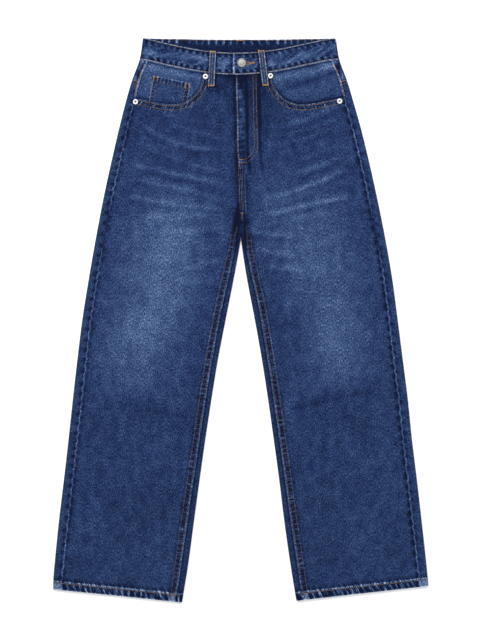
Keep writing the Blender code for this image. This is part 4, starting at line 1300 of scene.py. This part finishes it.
def sewable():
    """The surface of all the cloth laid so far, to sew on."""
    points, faces, start = [], [], 0
    for piece in cloth_pieces:
        mesh = piece.data
        place = np.empty(len(mesh.vertices) * 3)
        mesh.vertices.foreach_get("co", place)
        points.append(place.reshape(-1, 3))
        faces += [[start + corner for corner in face.vertices] for face in mesh.polygons]
        start += len(mesh.vertices)
    return BVHTree.FromPolygons(np.concatenate(points).tolist(), faces)


surface = sewable()
bpy.ops.object.select_all(action="DESELECT")
bpy.ops.mesh.primitive_uv_sphere_add(segments=6, ring_count=4, radius=0.5)
one_stitch = bpy.context.object
stitch_points = np.array([vertex.co for vertex in one_stitch.data.vertices])
stitch_faces = [list(face.vertices) for face in one_stitch.data.polygons]
bpy.data.objects.remove(one_stitch)


def stand(name, points, edges, faces):
    """A new object, with all of its mesh selected in edit mode."""
    mesh = bpy.data.meshes.new(name)
    mesh.from_pydata(points, edges, faces)
    piece = bpy.data.objects.new(name, mesh)
    bpy.context.scene.collection.objects.link(piece)
    bpy.ops.object.select_all(action="DESELECT")
    bpy.context.view_layer.objects.active = piece
    piece.select_set(True)
    bpy.ops.object.mode_set(mode="EDIT")
    bpy.ops.mesh.select_all(action="SELECT")
    return piece


def seat(x, drop, under):
    """The cloth's point at a place, and the way out of it."""
    way = 1 if under else -1
    start = Vector((x, LENGTH / 2 - drop, -0.05 * way))
    point, normal, _, _ = surface.ray_cast(start, Vector((0, 0, way)))
    if point is None:
        return None, None
    return np.array(point), np.array(normal) * (1 if normal.z * way < 0 else -1)


def paced(line, pace):
    """Places at an even pace along a line, and the way it runs there."""
    line = np.asarray(line, float)
    arc = walked(line)
    count = max(int(round(arc[-1] / pace)), 1)
    middle = (np.arange(count) + 0.5) * arc[-1] / count
    behind, ahead = (
        points_at(*(np.interp(middle + step, arc, axis) for axis in line.T))
        for step in (-pace / 4, pace / 4)
    )
    way = ahead - behind
    return (ahead + behind) / 2, way / np.linalg.norm(way, axis=1)[:, None]


def sew(name, lines, thread, under=False, pace=STITCH, size=STITCH_SIZE, turn=0.0):
    """Rows of stitches along lines, each stitch turned from its row by an angle."""
    laid = []
    long, wide, high = size
    draw = np.random.default_rng(len(name))
    for line in lines:
        for place, way in zip(*paced(line, pace)):
            lean = turn + draw.normal(0, 0.05)
            c, s = math.cos(lean), math.sin(lean)
            way = np.array([way[0] * c - way[1] * s, way[0] * s + way[1] * c])
            ends = [seat(*(place + way * long * 0.4 * k), under) for k in (-1, 0, 1)]
            if any(point is None for point, _ in ends):
                continue
            run = ends[2][0] - ends[0][0]
            if abs(run[2]) > STITCH_STEP:
                continue
            run /= np.linalg.norm(run)
            beside = np.cross(ends[1][1], run)
            beside /= np.linalg.norm(beside)
            out = np.cross(run, beside)
            shape = stitch_points * (wide, high, long * draw.uniform(0.94, 1.06))
            middle = ends[1][0] + out * high * 0.12  # a little more of it out of the cloth than in
            laid.append(middle + shape @ np.array([beside, out, run]))
    starts = range(0, len(laid) * len(stitch_points), len(stitch_points))
    faces = [[start + corner for corner in face] for start in starts for face in stitch_faces]
    piece = stand(name, np.concatenate(laid).tolist(), [], faces)
    bpy.ops.mesh.normals_make_consistent(inside=False)
    bpy.ops.object.mode_set(mode="OBJECT")
    piece.data.shade_smooth()
    piece.data.materials.append(thread)
    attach(piece, "root")


def cotton(name, pale, deep):
    """Matt sewing thread, uneven in colour along a row."""
    finish = Finish(name)
    place = finish.place()
    uneven = finish.noise(place, (130, 130, 130), 2, 0.6)
    twist = finish.noise(place, (2600, 2600, 2600), 1, 0.5)
    colour = finish.ramp(0.5 + 2.2 * uneven + 0.9 * twist, ((0.0, deep), (1.0, pale)))
    finish.set(Base_Color=colour, Roughness=0.75, Specular_IOR_Level=0.2)
    return finish.material


tan_thread = cotton("thread_tan", dye(172, 136, 74), dye(88, 68, 38))
bright_thread = cotton("thread_bright", dye(206, 150, 44), dye(140, 94, 26))
faded_thread = cotton("thread_faded", dye(142, 114, 68), dye(74, 60, 40))
dark_thread = cotton("thread_dark", dye(132, 106, 68), dye(68, 56, 42))


def shifted(line, away):
    """A line moved sideways, to the left of the way that it runs with x and drop as axes."""
    line = np.asarray(line, float)
    way = np.gradient(line, axis=0)
    way /= np.linalg.norm(way, axis=1)[:, None]
    return line + away * np.stack([-way[:, 1], way[:, 0]], axis=-1)


def level_line(start, end, drop_at, steps=160):
    x = np.linspace(start, end, steps)
    return points_at(x, drop_at(x))


def upright_line(start, end, x_at, steps=200):
    drop = np.linspace(start, end, steps)
    return points_at(x_at(drop), drop)


def waist_row(start, end, dip, depth):
    """A row at a depth below the waistband's upper edge, in front or behind."""
    return level_line(start, end, lambda x: dip(x) + depth)


WAIST_ROWS = (0.0014, BAND_HEIGHT - 0.0015)
BACK_WAIST_ROWS = (0.0015, BAND_HEIGHT - 0.0015)
FELL_ROWS = ((0.0024, 0.350), (0.0098, 0.366))  # off the inseam, and the drop where each starts
MOUTH_ROWS = (0.0027, 0.0100)
HEM_ROW = HEM_DEPTH - 0.0012
HEM_STITCH = (0.0027, 0.0010, 0.0008)

waist_left = fold_x(LEFT, 0.01) - FOLD
waist_right = fold_x(RIGHT, 0.01) + FOLD
waist_rows = []
for depth, wider in zip(WAIST_ROWS, (0, 0.007)):
    waist_rows.append(waist_row(BAND_END + 0.001, waist_left + wider, front_dip, depth))
    waist_rows.append(waist_row(waist_right - wider, BAND_END - 0.0008, front_dip, depth))
waist_rows.append(waist_row(-0.158, 0.156, back_dip, BACK_WAIST_ROWS[0]))
sew("stitches_waistband", waist_rows, tan_thread)
waist_rows = [waist_row(-0.172, 0.168, back_dip, depth) for depth in BACK_WAIST_ROWS]
sew("stitches_waistband_back", waist_rows, tan_thread, under=True)

fell_rows, hem_rows, mouth_rows, strip_rows = [], [], [], []
for side in (RIGHT, LEFT):
    end = HEM_INNER[side] - 0.0035
    for off, start in FELL_ROWS:
        row = upright_line(start, end, lambda drop: inseam_x(side, drop) + side * off, 400)
        fell_rows.append(row)
    outer = fold_x(side, HEM_OUTER[side]) - side * 0.0030
    inner = gap_x(side, HEM_INNER[side]) + side * 0.0030
    hem_rows.append(level_line(outer, inner, lambda x: hem_drop(side, x) - HEM_ROW))
    reach = np.linspace(0.1905, 0.0635, 120)
    mouth = points_at(POCKET_CENTRE + side * reach, mouth_depth(reach))
    for off in MOUTH_ROWS:
        row = shifted(mouth, -side * off)
        mouth_rows.append(row[row[:, 1] > front_dip(row[:, 0]) + BAND_HEIGHT + 0.004])
    row = upright_line(0.0480, 0.1080, lambda drop: seam_x(side, drop) + side * 0.0014)
    strip_rows.append(row)
    start = seam_x(side, YOKE_SIDE) + side * 0.001
    end = fold_x(side, YOKE_SIDE) - side * 0.003
    for off in (-0.0022, 0.0030):
        strip_rows.append(level_line(start, end, lambda x: yoke_seam_top(x) + off, 12))
sew("stitches_inseams", fell_rows, dark_thread)
sew("stitches_hems", hem_rows, tan_thread, size=HEM_STITCH)
sew("stitches_hems_back", hem_rows, tan_thread, under=True, size=HEM_STITCH)
sew("stitches_pocket_mouths", mouth_rows, tan_thread)
sew("stitches_side_strips", strip_rows, bright_thread)

# The fly has a row at its folded edge and two more that curve in to its foot, given here by
# drop and x. Two rows run on down the seam of the rise.
FLY_CURVES = (
    ((0.068, 0.0224), (0.120, 0.0234), (0.175, 0.0248), (0.197, 0.0252), (0.2075, 0.0235),
     (0.2165, 0.0180), (0.2225, 0.0110), (0.2245, 0.0040), (0.2248, -0.0046)),
    ((0.068, 0.0281), (0.120, 0.0291), (0.175, 0.0304), (0.199, 0.0310), (0.2125, 0.0290),
     (0.2225, 0.0215), (0.2290, 0.0120), (0.2306, 0.0040), (0.2308, -0.0046)),
)
RISE_ROW = np.array([(-0.0040, 0.234), (-0.0010, 0.318)])  # the one nearer the wearer's right
RISE_APART = 0.0064


def curved(places):
    """A smooth line through a few places."""
    points = np.array(places)[:, ::-1]
    arc = walked(points)
    slopes = np.gradient(points, arc, axis=0)
    line = [
        span_value(points, slopes, i, arc[i + 1] - arc[i], t)
        for i in range(len(points) - 1)
        for t in np.linspace(0, 1, 12, endpoint=False)
    ]
    return np.array(line + [points[-1]])


fly_rows = [curved(places) for places in FLY_CURVES]
fly_rows.append(upright_line(0.070, 0.232, lambda drop: centre_front(drop) + 0.0020))
sew("stitches_fly", fly_rows, tan_thread, size=(0.0026, 0.00080, 0.0006))
rise_rows = [RISE_ROW, RISE_ROW + (RISE_APART, 0), [(0.0020, 0.3245), (0.0024, 0.3370)]]
sew("stitches_rise", rise_rows, faded_thread)

COIN_SEAMS = (0.0018, 0.0085)  # from its sides
coin_rows = []
for order in (1, -1):
    for off in COIN_SEAMS:
        start = lerp(*COIN_TOP[::order], off / COIN_WIDTH)
        end = lerp(*COIN_BOTTOM[::order], off / COIN_WIDTH)
        coin_rows.append([lerp(start, end, 0.04), lerp(start, end, 0.80)])
coin_rows.append(COIN_TOP + [(0.0015, 0.0100), (-0.0015, 0.0100)])
sew("stitches_coin_pocket", coin_rows, faded_thread, size=(0.0024, 0.00075, 0.0006), pace=0.0028)

for under, loops in ((False, FRONT_LOOPS), (True, back_loops)):
    loop_rows = [
        [(start[0] + off, start[1] + 0.002), (end[0] + off, end[1] - 0.002)]
        for _, start, end in loops
        for off in (-0.0032, 0.0032)
    ]
    sew("stitches_belt_loops" + "_back" * under, loop_rows, faded_thread, under=under)

back_rows = []
for side in (RIGHT, LEFT):
    for off in (0.0015, 0.0080):
        back_rows.append(level_line(side * 0.001, side * 0.190, lambda x: yoke_seam(x) + off))
    corner = np.array([side * BACK_POCKET_X, BACK_POCKET_DROP])
    for inset in (0.0016, 0.0076):
        half = BACK_POCKET_HALF - inset
        foot = POCKET_FOOT - inset
        foot_drop = POCKET_SIDE - 0.6 * inset
        outline = [(-half, 0.002), (-foot, foot_drop), (0, BACK_POCKET_DEPTH - 1.05 * inset)]
        outline = corner + (outline + [(foot, foot_drop), (half, 0.002)])
        back_rows += [outline[i : i + 2] for i in range(4)]
    across = BACK_POCKET_HALF - 0.002
    back_rows += [corner + [(-across, off), (across, off)] for off in (0.012, 0.019)]
back_rows += [[(off, 0.113), (off, 0.360)] for off in (0.0016, 0.0080)]
sew("stitches_back", back_rows, tan_thread, under=True)

# ==================================================== bartacks and buttonhole
# Short dense bars of bright thread that hold the loops, the pockets and the fly's foot,
# and the keyhole buttonhole that the button passes through.

TACK = dict(pace=0.00066, size=(0.0026, 0.00072, 0.0007), turn=math.pi / 2)
BUTTON_X = 0.0017
BUTTON_DROP = 0.0460
EYE_X = 0.0248  # the buttonhole's round end
EYE = 0.0010


def loop_tacks(loops):
    """Bars across both ends of each loop."""
    places = []
    for _, start, end in loops:
        places += [(start[0], start[1] + 0.0018), (end[0], end[1] - 0.0020)]
    return [[(x - 0.0050, drop), (x + 0.0050, drop)] for x, drop in places]


sew("bartacks_front", loop_tacks(FRONT_LOOPS), bright_thread, **TACK)
coin_tacks = []
ties = []
for (x, drop), way in zip(COIN_TOP, (1, -1)):
    for row in COIN_SEAMS:
        in_x = x + way * row
        coin_tacks.append([(in_x, drop + way * row * 0.2 + 0.0016), (in_x - 0.0010, drop + 0.0090)])
    ties.append([(x, drop + 0.0022), (x + way * 0.0095, drop + 0.0022 + way * 0.002)])
coin_stitch = dict(pace=0.0008, size=(0.0017, 0.00070, 0.0006), turn=math.pi / 2)
sew("bartacks_coin_pocket", coin_tacks, bright_thread, **coin_stitch)
ties += [
    [(-0.0046, 0.2248), (0.0060, 0.2246)],  # the fly's foot
    [(-0.0046, 0.2308), (0.0060, 0.2306)],
    [(-0.0040, 0.2330), (-0.0036, 0.2420)],
    [(-0.0012, 0.3237), (0.0072, 0.3237)],  # the foot of the rise
]
for side in (RIGHT, LEFT):
    x = inseam_x(side, HEM_INNER[side] - 0.02) + side * 0.0055
    drop = float(hem_drop(side, x)) - HEM_ROW
    ties.append([(x - 0.0055, drop - side * 0.0006), (x + 0.0055, drop + side * 0.0006)])
sew("ties_front", ties, bright_thread, pace=0.0018, size=(0.0020, 0.0009, 0.0007))
back_tacks = loop_tacks(back_loops)
for side in (RIGHT, LEFT):
    for way in (-1, 1):
        x = side * BACK_POCKET_X + way * (BACK_POCKET_HALF - 0.0045)
        back_tacks.append([(x, BACK_POCKET_DROP + 0.0015), (x, BACK_POCKET_DROP + 0.0095)])
sew("bartacks_back", back_tacks, bright_thread, under=True, **TACK)
centre_tack = [[(-0.0075, BACK_DIP + 0.0017), (0.0055, BACK_DIP + 0.0017)]]
sew("bartack_centre_back", centre_tack, bright_thread, pace=0.0016, size=(0.0022, 0.0014, 0.0009))

turns = np.linspace(0, math.tau, 16)
eye = points_at(EYE_X + EYE * np.cos(turns), BUTTON_DROP - 0.0002 + EYE * np.sin(turns))
slit = [
    [(BUTTON_X + 0.0080, BUTTON_DROP - 0.0010), (EYE_X - 0.0012, BUTTON_DROP - 0.0008)],
    [(BUTTON_X + 0.0080, BUTTON_DROP + 0.0036), (EYE_X - 0.0012, BUTTON_DROP + 0.0006)],
]
eye_stitch = dict(pace=0.0005, size=(0.0015, 0.00060, 0.0007), turn=math.pi / 2)
sew("buttonhole", slit + [eye], bright_thread, **eye_stitch)

# ========================================================== button and rivets
# A turned metal shank button on the lap and four small tubular rivets that hold the
# corners of the pocket mouths. All are satin, with a soft unevenness from wear.


def satin(name, pale, deep):
    finish = Finish(name)
    place = finish.place()
    patina = finish.noise(place, (500, 500, 500), 3, 0.65)
    brushed = finish.noise(place, (3000, 700, 900), 2, 0.5)
    colour = finish.ramp(0.5 + 2.4 * patina + 0.8 * brushed, ((0.0, deep), (1.0, pale)))
    finish.set(Base_Color=colour, Metallic=0.9, Roughness=(0.42 + 0.8 * patina).kept())
    finish.set(Normal=finish.bump(patina + 0.4 * brushed, 0.25, 0.0004))
    return finish.material


button_metal = satin("metal_button", (0.30, 0.30, 0.29), (0.13, 0.13, 0.125))
rivet_metal = satin("metal_rivet", (0.72, 0.72, 0.71), (0.44, 0.44, 0.44))
# A dark metal for painted shade in the hollow middle of each rivet
hollow_shade_metal = satin("metal_hollow_painted_shade", (0.10, 0.10, 0.10), (0.03, 0.03, 0.03))
BUTTON_PROFILE = (
    (0.0000, 0.00335), (0.0030, 0.00330), (0.0052, 0.00310), (0.0064, 0.00285), (0.0067, 0.00300),
    (0.0070, 0.00350), (0.0075, 0.00365), (0.0080, 0.00350), (0.0084, 0.00300), (0.0085, 0.00250),
    (0.0082, 0.00180), (0.0078, 0.00145), (0.0060, 0.00120), (0.0046, 0.00100), (0.0045, 0.00000),
    (0.0000, 0.00000),
)
RIVET_PROFILE = (
    (0.0000, 0.00030), (0.0010, 0.00030), (0.0015, 0.00045), (0.0019, 0.00105), (0.0026, 0.00150),
    (0.0034, 0.00165), (0.0042, 0.00155), (0.0048, 0.00115), (0.0052, 0.00070), (0.0052, 0.00000),
    (0.0000, 0.00000),
)
RIVET_HOLLOW = 0.0016
RIVETS = (
    ("rivet_right_inner", -0.0652, 0.0712),
    ("rivet_left_inner", 0.0550, 0.0700),
    ("rivet_right_outer", -0.1948, 0.1180),
    ("rivet_left_outer", 0.1830, 0.1168),
)


def turned(node, profile, x, drop, metal, hollow=0.0):
    """A piece spun from (radius, height) points, standing where its CAD node stands.

    Within the radius hollow its face takes a dark metal: painted shade in a rivet's hole.
    """
    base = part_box(node)[0][2]
    y = LENGTH / 2 - drop
    points = [(x + radius, y, base + height) for radius, height in profile]
    piece = stand(f"{node}_turned", points, [(i, i + 1) for i in range(len(points) - 1)], [])
    bpy.ops.mesh.spin(steps=48, angle=math.tau, center=(x, y, base), axis=(0, 0, 1))
    bpy.ops.mesh.select_all(action="SELECT")
    bpy.ops.mesh.remove_doubles(threshold=0.000005)
    bpy.ops.mesh.normals_make_consistent(inside=False)
    bpy.ops.object.mode_set(mode="OBJECT")
    bpy.ops.object.shade_smooth_by_angle(angle=math.radians(50))
    piece.data.materials.append(metal)
    piece.data.materials.append(hollow_shade_metal)
    for face in piece.data.polygons:
        beside = math.hypot(face.center.x - x, face.center.y - y)
        face.material_index = int(beside < hollow and face.center.z > base + 0.0001)
    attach(piece, "root")
    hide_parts(node)


turned("waist_button", BUTTON_PROFILE, BUTTON_X, BUTTON_DROP, button_metal)
for node, x, drop in RIVETS:
    turned(node, RIVET_PROFILE, x, drop, rivet_metal, RIVET_HOLLOW)

# ==================================================================== studio
# A plain pale floor under soft light from all round, brighter from the waist's side, with
# the camera straight above, as the photograph has it.

bpy.ops.object.select_all(action="DESELECT")
bpy.ops.mesh.primitive_plane_add(size=14, location=(0, 0, -0.0004))
floor = bpy.context.object
floor.name = "studio_floor"
pale = Finish("floor_paper")
shade = pale.noise(pale.place(), (3, 3, 3), 2, 0.5) * 0.01 + 0.97
grey = pale.node("ShaderNodeCombineColor", {}, {0: shade, 1: shade, 2: shade})
pale.set(Base_Color=grey, Roughness=0.9, Specular_IOR_Level=0.1)
pale.set(Emission_Color=(1, 1, 1, 1), Emission_Strength=0.1)
floor.data.materials.append(pale.material)

CAMERA_HEIGHT = 5.0
GARMENT_HEIGHT = 0.006
PHOTO_HEIGHT = 1.184  # of the garment's plane that the photograph takes in
bpy.ops.object.camera_add(location=(-0.0014, 0.0005, CAMERA_HEIGHT), rotation=(0, 0, 0))
camera = bpy.context.object
camera.data.sensor_width = 36
camera.data.lens = camera.data.sensor_width * (CAMERA_HEIGHT - GARMENT_HEIGHT) / PHOTO_HEIGHT
camera.data.clip_end = 50
bpy.context.scene.camera = camera

bpy.ops.object.light_add(type="AREA", location=(-0.45, 1.7, 2.8))
key = bpy.context.object
key.data.shape = "DISK"
key.data.size = 2.6
key.data.energy = 85
aim = Vector((0, 0, 0)) - key.location
key.rotation_euler = aim.to_track_quat("-Z", "Y").to_euler()

world = bpy.data.worlds.new("studio_light")
world.use_nodes = True
world.node_tree.nodes["Background"].inputs["Color"].default_value = (1, 1, 1, 1)
world.node_tree.nodes["Background"].inputs["Strength"].default_value = 0.85
bpy.context.scene.world = world
bpy.context.scene.view_settings.view_transform = "Standard"
